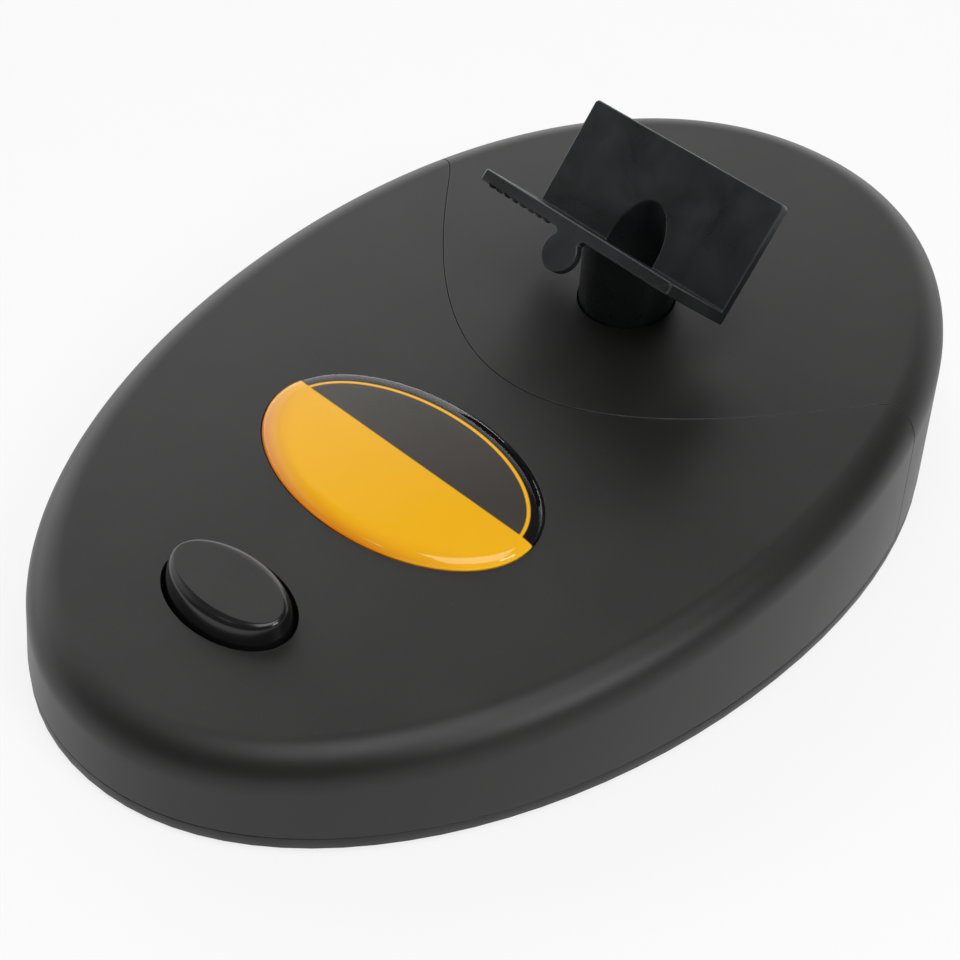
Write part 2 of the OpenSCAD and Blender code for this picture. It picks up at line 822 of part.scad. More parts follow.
module bridge_screws() {
    color("#9a9a9c") for (s = [-1, 1]) translate([s * bridge_post_x, post_y, bridge_z[1] + 0.07 + small_head[1]])
        mirror([0, 0, 1]) screw(small_head[0], small_head[1], pilot_r - 0.02, 11);
}

// Section of the V, with its inner crease at the origin
module v_section() {
    rear = [cos(plate_slope[0]), sin(plate_slope[0])];
    front = [-cos(plate_slope[1]), sin(plate_slope[1])];
    spread = sin(plate_slope[0] + plate_slope[1]);
    polygon([
        [0, 0],
        plate_l[0] * rear,
        plate_l[0] * rear + plate_t * [rear[1], -rear[0]],
        plate_t / spread * [-front[0] - rear[0], -rear[1] - front[1]],
        plate_l[1] * front + plate_t * [-front[1], front[0]],
        plate_l[1] * front
    ]);
}

// Extrudes a section drawn in Y and Z along X, over the given half length
module along_x(half) {
    translate([-half, 0, 0]) rotate([90, 0, 90]) linear_extrude(2 * half) children();
}

// What is cut off a plate to round its two outer corners; the plate lies along +Y from the crease
module corner_cut(length) {
    for (s = [-1, 1]) translate([s * (cradle_half - corner_r), length - corner_r, -plate_t - 1])
        linear_extrude(plate_t + 2) difference() {
            translate([s > 0 ? 0 : -corner_r - 1, 0]) square(corner_r + 1);
            circle(r = corner_r + corner_ease);
        }
}

// Round-headed hook for an elastic band, square to the plate at the middle of its outer edge
module band_hook(length) {
    sunk = 0.4;
    translate([0, length - hook_t, -sunk]) rotate([-90, 0, 0]) linear_extrude(hook_t) {
        translate([-hook_neck / 2, 0]) square([hook_neck, hook_reach - hook_r]);
        translate([0, hook_reach - hook_r]) circle(r = hook_r);
        for (s = [0, 1]) mirror([s, 0]) translate([hook_neck / 2, plate_t - sunk]) difference() {
            translate([-sunk, -sunk]) square(hook_root + sunk);
            translate([hook_root, hook_root]) circle(r = hook_root + corner_ease);
        }
    }
}

// Small teeth along the edge of the front plate, left of its hook
module front_teeth(length) {
    for (i = [3 : 10]) translate([tooth_pitch * i, length - tooth_r - 0.02, -plate_t - 0.4])
        cylinder(r = tooth_r, h = 0.8, $fn = 24);
}

module cradle() {
    top = 70;
    color("#1d1f20") at_cradle_rest() difference() {
        union() {
            translate([0, crease_y, crease_z]) {
                difference() {
                    along_x(cradle_half) v_section();
                    rotate([plate_slope[0], 0, 0]) corner_cut(plate_l[0]);
                    rotate(180) rotate([plate_slope[1], 0, 0]) corner_cut(plate_l[1]);
                }
                rotate([plate_slope[0], 0, 0]) band_hook(plate_l[0]);
                rotate(180) rotate([plate_slope[1], 0, 0]) {
                    band_hook(plate_l[1]);
                    front_teeth(plate_l[1]);
                }
            }
            // post, cut off inside the thickness of the plates
            difference() {
                translate([0, 0, skirt_z]) cylinder(r = post_r, h = crease_z - skirt_z + post_r + plate_t);
                translate([0, crease_y, crease_z - 1]) along_x(60)
                    polygon([[0, 0], [40, 40 * tan(plate_slope[0])], [-40, 40 * tan(plate_slope[1])]]);
            }
        }
        translate([0, 0, web_z[1]]) cylinder(r = bore_r, h = top);
        cylinder(r = 1.6, h = top);
        // socket of the spindle, with its key flat
        difference() {
            cylinder(r = spindle_r + 0.02, h = web_z[0]);
            translate([-10, spindle_r - 0.95, skirt_z + 0.35]) cube([20, 5, 10]);
        }
    }
}

module cradle_screw() {
    color("#9a9a9c") at_cradle_rest() translate([0, 0, web_z[1] + 2.02])
        mirror([0, 0, 1]) screw(2.9, 2, 1.45, 10);
}

// ---- Leads ----

// Corners of each lead's route, from tag to tag
plus_route = [[34.5, -44, 14.85], [37, -44.5, 14], [36, -56, 8], [28, -66, 5.5],
    [12, -68, 4.7], [7.4, -68, 4.7]];
switch_route = [[-7.4, -68, 4.7], [-14, -68, 4.7], [-31, -64, 6], [-36, -50, 7], [-36, -15, 7],
    [-20, -14, 9], [-6, -18, 12.5], [-6, -14.7, 12.5]];
minus_route = [[34.5, -29, 14.85], [37, -28, 14], [34, -17, 12], [16, -15, 11],
    [6, -18.2, 12.5], [6, -14.7, 12.5]];

module lead(corners) {
    tube(route(corners), 0.7, 8, [0.02, 0.03, 1]);
}

module lead_plus() {
    color("#b3261e") lead(plus_route);
}

module lead_switch() {
    color("#b3261e") lead(switch_route);
}

module lead_minus() {
    color("#1b1b1b") lead(minus_route);
}

front_cover();
rear_cover();
base_plate();
battery_door();
foot(feet[0]);  // foot_front_left
foot(feet[1]);  // foot_front_right
foot(feet[2]);  // foot_rear_left
foot(feet[3]);  // foot_rear_right
badge_label();
badge_dome();
push_button();
button_spring();
switch_body();
switch_plunger();
switch_tags();
battery_cell_front();
battery_cell_rear();
bridge_contact();
plus_contact();
minus_contact();
motor_can();
motor_end_bell();
motor_terminals();
motor_magnets();
motor_brushes();
motor_front_bush();
motor_rear_bush();
motor_shaft();
armature_core();
armature_windings();
commutator();
motor_clamp();
clamp_screws();
eccentric_hub();
crank_pin();
rocker_arm();
rocker_pin();
spindle();
thrust_washer();
spindle_bush(floor_z + 0.75, bush_seat_top, bush_flange_r[0]);  // lower_bush
spindle_bush(bridge_z[0], bush_boss_top, bush_flange_r[1]);  // upper_bush
bearing_bridge();
bridge_screws();
cradle();
cradle_screw();
cover_screws();
lead_plus();
lead_switch();
lead_minus();
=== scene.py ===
"""Looks of a shaker for nail polish bottles.

A satin black oval housing in two covers, a press button, a clear-domed oval badge and a V-shaped bottle
cradle on a swinging post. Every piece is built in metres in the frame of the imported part: +Y runs from the
button to the cradle, +X is to the right seen from the button end and +Z is up.
"""

import logging
import math
from abc import ABC, abstractmethod
from dataclasses import dataclass
from enum import Enum
from typing import Optional, Sequence, Union

import bmesh
import bpy
from mathutils import Matrix, Vector


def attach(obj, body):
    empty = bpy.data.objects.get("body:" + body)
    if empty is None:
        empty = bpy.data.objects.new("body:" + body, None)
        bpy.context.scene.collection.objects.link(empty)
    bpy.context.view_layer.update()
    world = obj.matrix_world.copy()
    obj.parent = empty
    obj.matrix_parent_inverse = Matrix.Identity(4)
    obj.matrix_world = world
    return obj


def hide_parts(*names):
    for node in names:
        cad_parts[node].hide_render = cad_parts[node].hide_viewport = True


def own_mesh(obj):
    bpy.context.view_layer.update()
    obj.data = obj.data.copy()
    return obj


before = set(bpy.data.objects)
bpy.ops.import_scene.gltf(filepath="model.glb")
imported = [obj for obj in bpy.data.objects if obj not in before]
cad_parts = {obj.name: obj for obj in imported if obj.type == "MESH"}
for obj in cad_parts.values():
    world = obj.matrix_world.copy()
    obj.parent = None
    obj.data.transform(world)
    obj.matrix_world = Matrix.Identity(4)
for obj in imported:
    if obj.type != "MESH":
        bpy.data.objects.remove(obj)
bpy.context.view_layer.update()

LOG = logging.getLogger("shaker")
MM = 0.001
BADGE_Y = -27.6 * MM
BADGE_HALF = (30.4 * MM, 18.0 * MM)
BUTTON_Y = -68 * MM
SAME_POINT = 1e-7  # points of a closed wall nearer than this, in metres, are one
SLIVER_PASSES = 3  # one pass can leave a sliver beside the one that it removes
FLAT_ANGLE = math.radians(0.6)  # faces that meet at less than this become one
NEARLY_LEVEL = 0.9  # cosine between a broad face and the first strip of its rounded edge
WAVE_RATE = 20.0  # radians per metre that a Wave texture of scale 1 runs through
MIX_SHARE, MIX_FIRST, MIX_SECOND, MIX_RESULT = 0, 6, 7, 2  # the sockets of a Mix node for colours
Tree = bpy.types.NodeTree
Node = bpy.types.Node
Socket = bpy.types.NodeSocket
Piece = bpy.types.Object
Skin = bmesh.types.BMesh
Colour = tuple[float, float, float]
Point = tuple[float, float, float]
Pair = tuple[float, float]
Section = Sequence[Pair]
Value = Union[float, Sequence[float], Socket]


class Body(Enum):
    """The bodies of the part that a dressed piece rides on."""

    HOUSING = "housing_body"
    CRADLE = "cradle_body"
    BUTTON = "button_body"
    DOOR = "door_body"


class Cut(Enum):
    """What a cutting tool does to a piece."""

    AWAY = "DIFFERENCE"
    KEEP = "INTERSECT"


# ---- Shader work ----


def place(tree: Tree, kind: str, inputs: Optional[dict] = None, **settings) -> Node:
    """Adds a node to a tree.

    Args:
        tree: The node tree.
        kind: The node's type name.
        inputs: Values or sockets for the node's inputs, by name or index.
        settings: Properties of the node.

    Returns:
        The new node.
    """
    node = tree.nodes.new(kind)
    for name, value in settings.items():
        setattr(node, name, value)
    for name, value in (inputs or {}).items():
        if isinstance(value, Socket):
            tree.links.new(value, node.inputs[name])
        else:
            node.inputs[name].default_value = value
    return node


def reckon(tree: Tree, operation: str, *terms: Value, clamp: bool = False) -> Socket:
    """Adds a Math node.

    Args:
        tree: The node tree.
        operation: The Math node's operation.
        terms: Its inputs in order, numbers or sockets.
        clamp: Whether the result stays between 0 and 1.

    Returns:
        The node's output.
    """
    node = place(tree, "ShaderNodeMath", dict(enumerate(terms)), operation=operation, use_clamp=clamp)
    return node.outputs[0]


def blend_colours(tree: Tree, share: Value, first: Value, second: Value) -> Socket:
    """Adds a colour mix.

    Args:
        tree: The node tree.
        share: How much of the second colour shows, from 0 to 1.
        first: The colour at share 0.
        second: The colour at share 1.

    Returns:
        The mixed colour.
    """
    node = place(tree, "ShaderNodeMix", data_type="RGBA")
    for index, value in ((MIX_SHARE, share), (MIX_FIRST, first), (MIX_SECOND, second)):
        if isinstance(value, Socket):
            tree.links.new(value, node.inputs[index])
        else:
            node.inputs[index].default_value = value if index == MIX_SHARE else (*value[:3], 1.0)
    return node.outputs[MIX_RESULT]


def remap(tree: Tree, value: Value, low: float, high: float, to_low: float = 0.0,
          to_high: float = 1.0) -> Socket:
    """Adds a clamped Map Range node.

    Args:
        tree: The node tree.
        value: What is mapped.
        low: The value that becomes to_low.
        high: The value that becomes to_high.
        to_low: The result at low.
        to_high: The result at high.

    Returns:
        The mapped value.
    """
    node = place(tree, "ShaderNodeMapRange", {0: value, 1: low, 2: high, 3: to_low, 4: to_high})
    return node.outputs[0]


def noise(tree: Tree, where: Value, scale: Value, detail: float, roughness: float,
          distortion: float = 0.0) -> Socket:
    """Adds a Noise texture.

    Args:
        tree: The node tree.
        where: The coordinates that it reads.
        scale: Its scale.
        detail: Its detail.
        roughness: Its roughness.
        distortion: Its distortion.

    Returns:
        The noise, from 0 to 1.
    """
    inputs = {"Vector": where, "Scale": scale, "Detail": detail, "Roughness": roughness,
              "Distortion": distortion}
    return place(tree, "ShaderNodeTexNoise", inputs).outputs[0]


class SharedEffect(ABC):
    """A shader node group that several finishes use, built once."""

    name: str = ""
    inputs: dict[str, tuple[str, float]] = {}
    outputs: tuple[str, ...] = ()

    def group(self) -> Tree:
        """Returns the group, and makes it the first time."""
        found = bpy.data.node_groups.get(self.name)
        return found if found else self.make()

    def make(self) -> Tree:
        """Builds the group with its sockets.

        Returns:
            The new node group.
        """
        tree = bpy.data.node_groups.new(self.name, "ShaderNodeTree")
        for label, (kind, start) in self.inputs.items():
            socket = tree.interface.new_socket(label, in_out="INPUT", socket_type=kind)
            if kind == "NodeSocketFloat":
                socket.default_value = start
        for label in self.outputs:
            tree.interface.new_socket(label, in_out="OUTPUT", socket_type="NodeSocketFloat")
        entry = tree.nodes.new("NodeGroupInput")
        leave = tree.nodes.new("NodeGroupOutput")
        for label, socket in self.wire(tree, entry).items():
            tree.links.new(socket, leave.inputs[label])
        return tree

    @abstractmethod
    def wire(self, tree: Tree, entry: Node) -> dict[str, Socket]:
        """Lays out the inside of the group.

        Args:
            tree: The group's tree.
            entry: Its input node.

        Returns:
            The socket for each output, by name.
        """

    def use(self, tree: Tree, inputs: dict) -> Node:
        """Places the group in a material.

        Args:
            tree: The material's node tree.
            inputs: Values or sockets by input name.

        Returns:
            The group node.
        """
        return place(tree, "ShaderNodeGroup", inputs, node_tree=self.group())


class MouldGrain(SharedEffect):
    """The fine spark-eroded grain of a mould, with broad patches of slightly different sheen."""

    name = "mould_grain"
    inputs = {"Position": ("NodeSocketVector", 0), "Scale": ("NodeSocketFloat", 2500.0),
              "Patches": ("NodeSocketFloat", 30.0)}
    outputs = ("Height", "Patch")
    patch_range = (0.32, 0.68)

    def wire(self, tree: Tree, entry: Node) -> dict[str, Socket]:
        """Fine noise gives the height and broad noise the patches."""
        where = entry.outputs["Position"]
        fine = noise(tree, where, entry.outputs["Scale"], 3.0, 0.6)
        broad = noise(tree, where, entry.outputs["Patches"], 4.0, 0.55, 0.4)
        return {"Height": fine, "Patch": remap(tree, broad, *self.patch_range)}


class EdgeWearAndHighlight(SharedEffect):
    """Where handling has rubbed the edges of a piece, and where a painted highlight line runs along them."""

    name = "edge_wear_and_highlight"
    inputs = {"Position": ("NodeSocketVector", 0), "Radius": ("NodeSocketFloat", 0.0006),
              "Strength": ("NodeSocketFloat", 1.0)}
    outputs = ("Mask",)
    edge_cosines = (0.99, 0.80)
    blotch_range = (0.38, 0.62)
    blotch_least = 0.15

    def wire(self, tree: Tree, entry: Node) -> dict[str, Socket]:
        """The rounded normal differs from the real one near an edge, broken up by noise."""
        rounded = place(tree, "ShaderNodeBevel", {"Radius": entry.outputs["Radius"]}, samples=4)
        real = tree.nodes.new("ShaderNodeNewGeometry")
        same = place(tree, "ShaderNodeVectorMath", {0: rounded.outputs[0], 1: real.outputs["Normal"]},
                     operation="DOT_PRODUCT")
        edge = remap(tree, same.outputs["Value"], *self.edge_cosines)
        blotches = noise(tree, entry.outputs["Position"], 260.0, 5.0, 0.7)
        broken = remap(tree, blotches, *self.blotch_range, self.blotch_least)
        mask = reckon(tree, "MULTIPLY", edge, broken)
        return {"Mask": reckon(tree, "MULTIPLY", mask, entry.outputs["Strength"], clamp=True)}


class SettledDust(SharedEffect):
    """Fine dust on the faces that look up."""

    name = "settled_dust"
    inputs = {"Position": ("NodeSocketVector", 0), "Amount": ("NodeSocketFloat", 0.1)}
    outputs = ("Mask",)
    upward = (0.5, 1.0)
    speck_range = (0.66, 0.74)
    speck_most = 0.6
    film_range = (0.35, 0.75)
    film_share = (0.05, 0.5)

    def wire(self, tree: Tree, entry: Node) -> dict[str, Socket]:
        """Small specks on a faint film, only where the normal points up."""
        facing = tree.nodes.new("ShaderNodeNewGeometry")
        split = place(tree, "ShaderNodeSeparateXYZ", {0: facing.outputs["Normal"]})
        up = remap(tree, split.outputs["Z"], *self.upward)
        where = entry.outputs["Position"]
        specks = remap(tree, noise(tree, where, 1500.0, 2.0, 0.5), *self.speck_range, 0.0, self.speck_most)
        film = remap(tree, noise(tree, where, 45.0, 6.0, 0.6), *self.film_range, *self.film_share)
        both = reckon(tree, "ADD", specks, film, clamp=True)
        lying = reckon(tree, "MULTIPLY", both, up)
        return {"Mask": reckon(tree, "MULTIPLY", lying, entry.outputs["Amount"], clamp=True)}


GRAIN = MouldGrain()
EDGE_WEAR_AND_HIGHLIGHT = EdgeWearAndHighlight()
DUST = SettledDust()


class Finish(ABC):
    """How a kind of surface looks. Each finish makes its material once."""

    name: str

    def material(self) -> bpy.types.Material:
        """Returns the finish's material, and makes it the first time."""
        found = bpy.data.materials.get(self.name)
        return found if found else self.make()

    def make(self) -> bpy.types.Material:
        """Builds the material round one Principled shader.

        Returns:
            The new material.
        """
        material = bpy.data.materials.new(self.name)
        material.use_nodes = True
        tree = material.node_tree
        tree.nodes.clear()
        shader = tree.nodes.new("ShaderNodeBsdfPrincipled")
        leave = tree.nodes.new("ShaderNodeOutputMaterial")
        tree.links.new(shader.outputs[0], leave.inputs["Surface"])
        where = tree.nodes.new("ShaderNodeTexCoord").outputs["Object"]
        self.paint(tree, shader, where)
        return material

    @abstractmethod
    def paint(self, tree: Tree, shader: Node, where: Socket) -> None:
        """Connects the finish's pattern to the shader.

        Args:
            tree: The material's node tree.
            shader: Its Principled shader.
            where: The Object coordinates.
        """

    @staticmethod
    def raise_bumps(tree: Tree, shader: Node, height: Value, depth: float,
                    strength: float = 1.0) -> None:
        """Feeds a height to the shader's normal.

        Args:
            tree: The material's node tree.
            shader: Its Principled shader.
            height: The height pattern.
            depth: What a height of 1 is in metres.
            strength: The Bump node's strength.
        """
        bump = place(tree, "ShaderNodeBump", {"Height": height, "Distance": depth, "Strength": strength})
        tree.links.new(bump.outputs[0], shader.inputs["Normal"])

    @staticmethod
    def set_roughness(tree: Tree, shader: Node, pattern: Value, rough: Pair,
                      reach: Pair = (0.0, 1.0)) -> None:
        """Feeds a pattern to the shader's roughness.

        Args:
            tree: The material's node tree.
            shader: Its Principled shader.
            pattern: The pattern.
            rough: The roughness at the low and at the high end of the pattern.
            reach: The low and the high end of the pattern.
        """
        tree.links.new(remap(tree, pattern, *reach, *rough), shader.inputs["Roughness"])


@dataclass(frozen=True)
class MouldedPlastic(Finish):
    """Injection-moulded plastic with a fine grain, patches of sheen, lighter edges that are partly rubbed
    wear and partly painted highlight, and a little dust.
    """

    name: str
    colour: Colour
    roughness: Pair = (0.4, 0.5)
    level: float = 0.5
    grain_scale: float = 2500.0
    grain_depth: float = 0.00002
    patch_scale: float = 30.0
    patch_colour: Optional[Colour] = None
    patch_lift: float = 1.22
    wear_and_highlight_radius: float = 0.0005
    wear_and_highlight: float = 0.35
    wear_and_highlight_colour: Colour = (0.09, 0.09, 0.09)
    wear_and_highlight_polish: float = 0.12
    dust: float = 0.05
    dust_colour: Colour = (0.42, 0.41, 0.39)
    dust_dulling: float = 0.5
    see_through: float = 0.0
    see_through_depth: float = 1 * MM

    def paint(self, tree: Tree, shader: Node, where: Socket) -> None:
        """Base colour in patches, lighter edges for wear and painted edge highlight, and a veil of dust over
        fine grain.
        """
        grain = GRAIN.use(tree, {"Position": where, "Scale": self.grain_scale, "Patches": self.patch_scale})
        other = self.patch_colour or tuple(c * self.patch_lift for c in self.colour)
        colour = blend_colours(tree, grain.outputs["Patch"], self.colour, other)
        sheen = remap(tree, grain.outputs["Patch"], 0.0, 1.0, *self.roughness)
        if self.wear_and_highlight > 0:
            worn_and_lit = EDGE_WEAR_AND_HIGHLIGHT.use(tree, {"Position": where, "Radius": self.wear_and_highlight_radius, "Strength": self.wear_and_highlight})
            # the lighter edge colour is partly rubbed wear and partly a painted highlight line
            colour = blend_colours(tree, worn_and_lit.outputs["Mask"], colour, self.wear_and_highlight_colour)
            polish = reckon(tree, "MULTIPLY", worn_and_lit.outputs["Mask"], self.wear_and_highlight_polish)
            sheen = reckon(tree, "SUBTRACT", sheen, polish)
        if self.dust > 0:
            dust = DUST.use(tree, {"Position": where, "Amount": self.dust})
            colour = blend_colours(tree, dust.outputs["Mask"], colour, self.dust_colour)
            dulled = reckon(tree, "MULTIPLY", dust.outputs["Mask"], self.dust_dulling)
            sheen = reckon(tree, "ADD", sheen, dulled, clamp=True)
        tree.links.new(colour, shader.inputs["Base Color"])
        tree.links.new(sheen, shader.inputs["Roughness"])
        shader.inputs["Specular IOR Level"].default_value = self.level
        if self.see_through:
            shader.inputs["Subsurface Weight"].default_value = self.see_through
            shader.inputs["Subsurface Scale"].default_value = self.see_through_depth
        self.raise_bumps(tree, shader, grain.outputs["Height"], self.grain_depth)


@dataclass(frozen=True)
class DrawnMetal(Finish):
    """Rolled, drawn or turned metal, with fine lines along one direction and slight tarnish."""

    name: str
    colour: Colour
    tarnish: Colour
    roughness: Pair = (0.2, 0.36)
    lines: Point = (180.0, 6000.0, 6000.0)
    line_depth: float = 0.000006
    line_share: float = 0.5
    wear_range: Pair = (0.15, 0.85)
    tarnish_scale: float = 120.0

    def paint(self, tree: Tree, shader: Node, where: Socket) -> None:
        """Stretched noise for the lines and cloudy noise for the tarnish."""
        stretched = place(tree, "ShaderNodeMapping", {"Vector": where, "Scale": self.lines})
        lines = noise(tree, stretched.outputs[0], 1.0, 3.0, 0.6)
        clouds = GRAIN.use(tree, {"Position": where, "Patches": self.tarnish_scale}).outputs["Patch"]
        colour = blend_colours(tree, clouds, self.colour, self.tarnish)
        tree.links.new(colour, shader.inputs["Base Color"])
        clouded = reckon(tree, "MULTIPLY", clouds, 1.0 - self.line_share)
        wear = reckon(tree, "MULTIPLY_ADD", lines, self.line_share, clouded)
        self.set_roughness(tree, shader, wear, self.roughness, self.wear_range)
        shader.inputs["Metallic"].default_value = 1.0
        self.raise_bumps(tree, shader, lines, self.line_depth)


@dataclass(frozen=True)
class SpeckledCeramic(Finish):
    """Pressed ferrite: dull, dark and finely speckled."""

    name: str
    colour: Colour
    roughness: Pair = (0.6, 0.75)
    speck_lift: float = 2.2
    speck_range: Pair = (0.05, 0.6)
    grain_depth: float = 0.00004

    def paint(self, tree: Tree, shader: Node, where: Socket) -> None:
        """Grains of lighter and darker grey."""
        cells = place(tree, "ShaderNodeTexVoronoi", {"Vector": where, "Scale": 2600.0})
        grain = GRAIN.use(tree, {"Position": where, "Scale": 1800.0, "Patches": 200.0})
        share = remap(tree, cells.outputs["Distance"], *self.speck_range)
        lighter = tuple(c * self.speck_lift for c in self.colour)
        tree.links.new(blend_colours(tree, share, self.colour, lighter), shader.inputs["Base Color"])
        self.set_roughness(tree, shader, grain.outputs["Patch"], self.roughness)
        self.raise_bumps(tree, shader, grain.outputs["Height"], self.grain_depth)


@dataclass(frozen=True)
class CellJacket(Finish):
    """The printed jacket of a dry cell, bare, with metal ends."""

    name: str
    jacket: Colour
    band: Colour
    half_length: float
    cap: float = 1.2 * MM
    band_length: float = 12 * MM
    metal: Colour = (0.62, 0.62, 0.60)
    mottle: Colour = (0.02, 0.02, 0.02)
    mottle_share: float = 0.25
    roughness: Pair = (0.22, 0.34)
    grain_depth: float = 0.00001

    def paint(self, tree: Tree, shader: Node, where: Socket) -> None:
        """Bands along the cell's length, which lies along X: metal ends, plain bands, then the jacket."""
        grain = GRAIN.use(tree, {"Position": where, "Scale": 1500.0, "Patches": 90.0})
        split = place(tree, "ShaderNodeSeparateXYZ", {0: where})
        along = reckon(tree, "ABSOLUTE", split.outputs["X"])
        end = reckon(tree, "GREATER_THAN", along, self.half_length - self.cap)
        band = reckon(tree, "GREATER_THAN", along, self.half_length - self.band_length)
        colour = blend_colours(tree, band, self.jacket, self.band)
        mottled = reckon(tree, "MULTIPLY", grain.outputs["Patch"], self.mottle_share)
        colour = blend_colours(tree, mottled, colour, self.mottle)
        tree.links.new(blend_colours(tree, end, colour, self.metal), shader.inputs["Base Color"])
        tree.links.new(end, shader.inputs["Metallic"])
        self.set_roughness(tree, shader, grain.outputs["Patch"], self.roughness)
        self.raise_bumps(tree, shader, grain.outputs["Height"], self.grain_depth)


@dataclass(frozen=True)
class WoundWire(Finish):
    """Enamelled copper wire, wound side by side."""

    name: str
    colour: Colour
    half_pitch: float = 0.3 * MM
    groove_shade: float = 0.45
    metallic: float = 0.8
    roughness: Pair = (0.22, 0.4)
    wire_depth: float = 0.12 * MM

    def paint(self, tree: Tree, shader: Node, where: Socket) -> None:
        """Fine ridges across the coil, with painted shade in the grooves between them."""
        scale = 1.0 / self.half_pitch / WAVE_RATE * math.pi
        waves = place(tree, "ShaderNodeTexWave", {
            "Vector": where, "Scale": scale, "Distortion": 1.2, "Detail": 2.0},
            wave_type="RINGS", rings_direction="Y")
        ridges = waves.outputs["Fac"]
        clouds = GRAIN.use(tree, {"Position": where, "Patches": 400.0}).outputs["Patch"]
        # the darker colour in the grooves is painted shade between the wires
        dark = tuple(c * self.groove_shade for c in self.colour)
        tree.links.new(blend_colours(tree, ridges, dark, self.colour), shader.inputs["Base Color"])
        self.set_roughness(tree, shader, clouds, self.roughness)
        shader.inputs["Metallic"].default_value = self.metallic
        self.raise_bumps(tree, shader, ridges, self.wire_depth)


@dataclass(frozen=True)
class BadgePrint(Finish):
    """The badge's print: a warm yellow front part, a dark rear part and a thin yellow line round it."""

    name: str
    centre: Pair
    half: Pair
    chord: Pair
    yellow: Colour = (0.98, 0.50, 0.012)
    pale_yellow: Colour = (1.0, 0.52, 0.05)
    rim_orange: Colour = (0.62, 0.16, 0.006)
    grey: Colour = (0.062, 0.056, 0.051)
    grey_shade: float = 0.8
    black: Colour = (0.006, 0.006, 0.007)
    line: Pair = (2.35 * MM, 2.95 * MM)
    blur: float = 0.12 * MM
    rim_orange_width: float = 4.2 * MM
    rim_orange_fade: float = 1.6
    rim_orange_lean: float = 0.25
    rim_orange_front: Pair = (-2 * MM, -16 * MM)
    mottle: Pair = (0.08, 0.3)
    roughness: Pair = (0.5, 0.6)
    grain_depth: float = 0.000004

    def paint(self, tree: Tree, shader: Node, where: Socket) -> None:
        """Measures how far a point lies inside the badge's oval and on which side of the chord."""
        split = place(tree, "ShaderNodeSeparateXYZ", {0: where})
        across = reckon(tree, "SUBTRACT", split.outputs["X"], self.centre[0])
        along = reckon(tree, "SUBTRACT", split.outputs["Y"], self.centre[1])
        grain = GRAIN.use(tree, {"Position": where, "Scale": 2200.0, "Patches": 55.0})
        patch = grain.outputs["Patch"]

        def squared(distance: Socket, half: float) -> Socket:
            """The square of a distance in half axes of the oval."""
            share = reckon(tree, "DIVIDE", reckon(tree, "ABSOLUTE", distance), half)
            return reckon(tree, "POWER", share, 2.0)

        def inside(inset: float) -> Socket:
            """How far in millimetres, about, a point is inside the oval drawn in by inset."""
            half = widen(self.half, -inset)
            both = reckon(tree, "ADD", squared(across, half[0]), squared(along, half[1]))
            left = reckon(tree, "SUBTRACT", 1.0, reckon(tree, "SQRT", both))
            return reckon(tree, "MULTIPLY", left, min(half) / MM)

        line_outer, line_inner = (remap(tree, inside(inset), 0.0, self.blur / MM) for inset in self.line)
        line_y = reckon(tree, "MULTIPLY_ADD", across, *self.chord)
        behind = remap(tree, reckon(tree, "SUBTRACT", along, line_y), -self.blur, self.blur)
        # darker orange towards the front rim of the badge, strongest at its edge
        rim = remap(tree, inside(0.0), 0.0, self.rim_orange_width / MM, 1.0, 0.0)
        forward = reckon(tree, "MULTIPLY_ADD", across, self.rim_orange_lean, along)
        nearer = remap(tree, forward, *self.rim_orange_front)
        front_rim_darkening = reckon(tree, "MULTIPLY", reckon(tree, "POWER", rim, self.rim_orange_fade), nearer, clamp=True)
        front_mottle, rear_mottle = (reckon(tree, "MULTIPLY", patch, share) for share in self.mottle)
        front = blend_colours(tree, front_mottle, self.yellow, self.pale_yellow)
        front = blend_colours(tree, front_rim_darkening, front, self.rim_orange)
        greyish = blend_colours(tree, rear_mottle, self.grey, tuple(c * self.grey_shade for c in self.grey))
        rear = blend_colours(tree, line_outer, self.black, self.yellow)
        rear = blend_colours(tree, line_inner, rear, greyish)
        tree.links.new(blend_colours(tree, behind, front, rear), shader.inputs["Base Color"])
        self.set_roughness(tree, shader, patch, self.roughness)
        shader.inputs["Specular IOR Level"].default_value = 0.0
        self.raise_bumps(tree, shader, grain.outputs["Height"], self.grain_depth)


@dataclass(frozen=True)
class ClearResin(Finish):
    """Poured clear resin, glossy, with the faintest ripple."""

    name: str
    tint: Colour = (1.0, 0.995, 0.985)
    smear: Colour = (0.97, 0.97, 0.97)
    smear_share: float = 0.1
    roughness: Pair = (0.02, 0.05)
    ior: float = 1.49
    ripple_depth: float = 0.00001
    ripple_strength: float = 0.5
    shade: Colour = (0.96, 0.955, 0.94)

    def paint(self, tree: Tree, shader: Node, where: Socket) -> None:
        """Full transmission under slow ripples and faint smears. Shadow and diffuse rays pass straight on."""
        patch = GRAIN.use(tree, {"Position": where, "Patches": 60.0}).outputs["Patch"]
        smeared = reckon(tree, "MULTIPLY", patch, self.smear_share)
        tree.links.new(blend_colours(tree, smeared, self.tint, self.smear), shader.inputs["Base Color"])
        self.set_roughness(tree, shader, patch, self.roughness)
        shader.inputs["Transmission Weight"].default_value = 1.0
        shader.inputs["IOR"].default_value = self.ior
        self.raise_bumps(tree, shader, patch, self.ripple_depth, self.ripple_strength)
        path = tree.nodes.new("ShaderNodeLightPath")
        passing = reckon(tree, "ADD", path.outputs["Is Shadow Ray"], path.outputs["Is Diffuse Ray"],
                         clamp=True)
        open_way = place(tree, "ShaderNodeBsdfTransparent", {0: (*self.shade, 1.0)})
        mix = place(tree, "ShaderNodeMixShader", {0: passing, 1: shader.outputs[0], 2: open_way.outputs[0]})
        tree.links.new(mix.outputs[0], tree.nodes["Material Output"].inputs["Surface"])


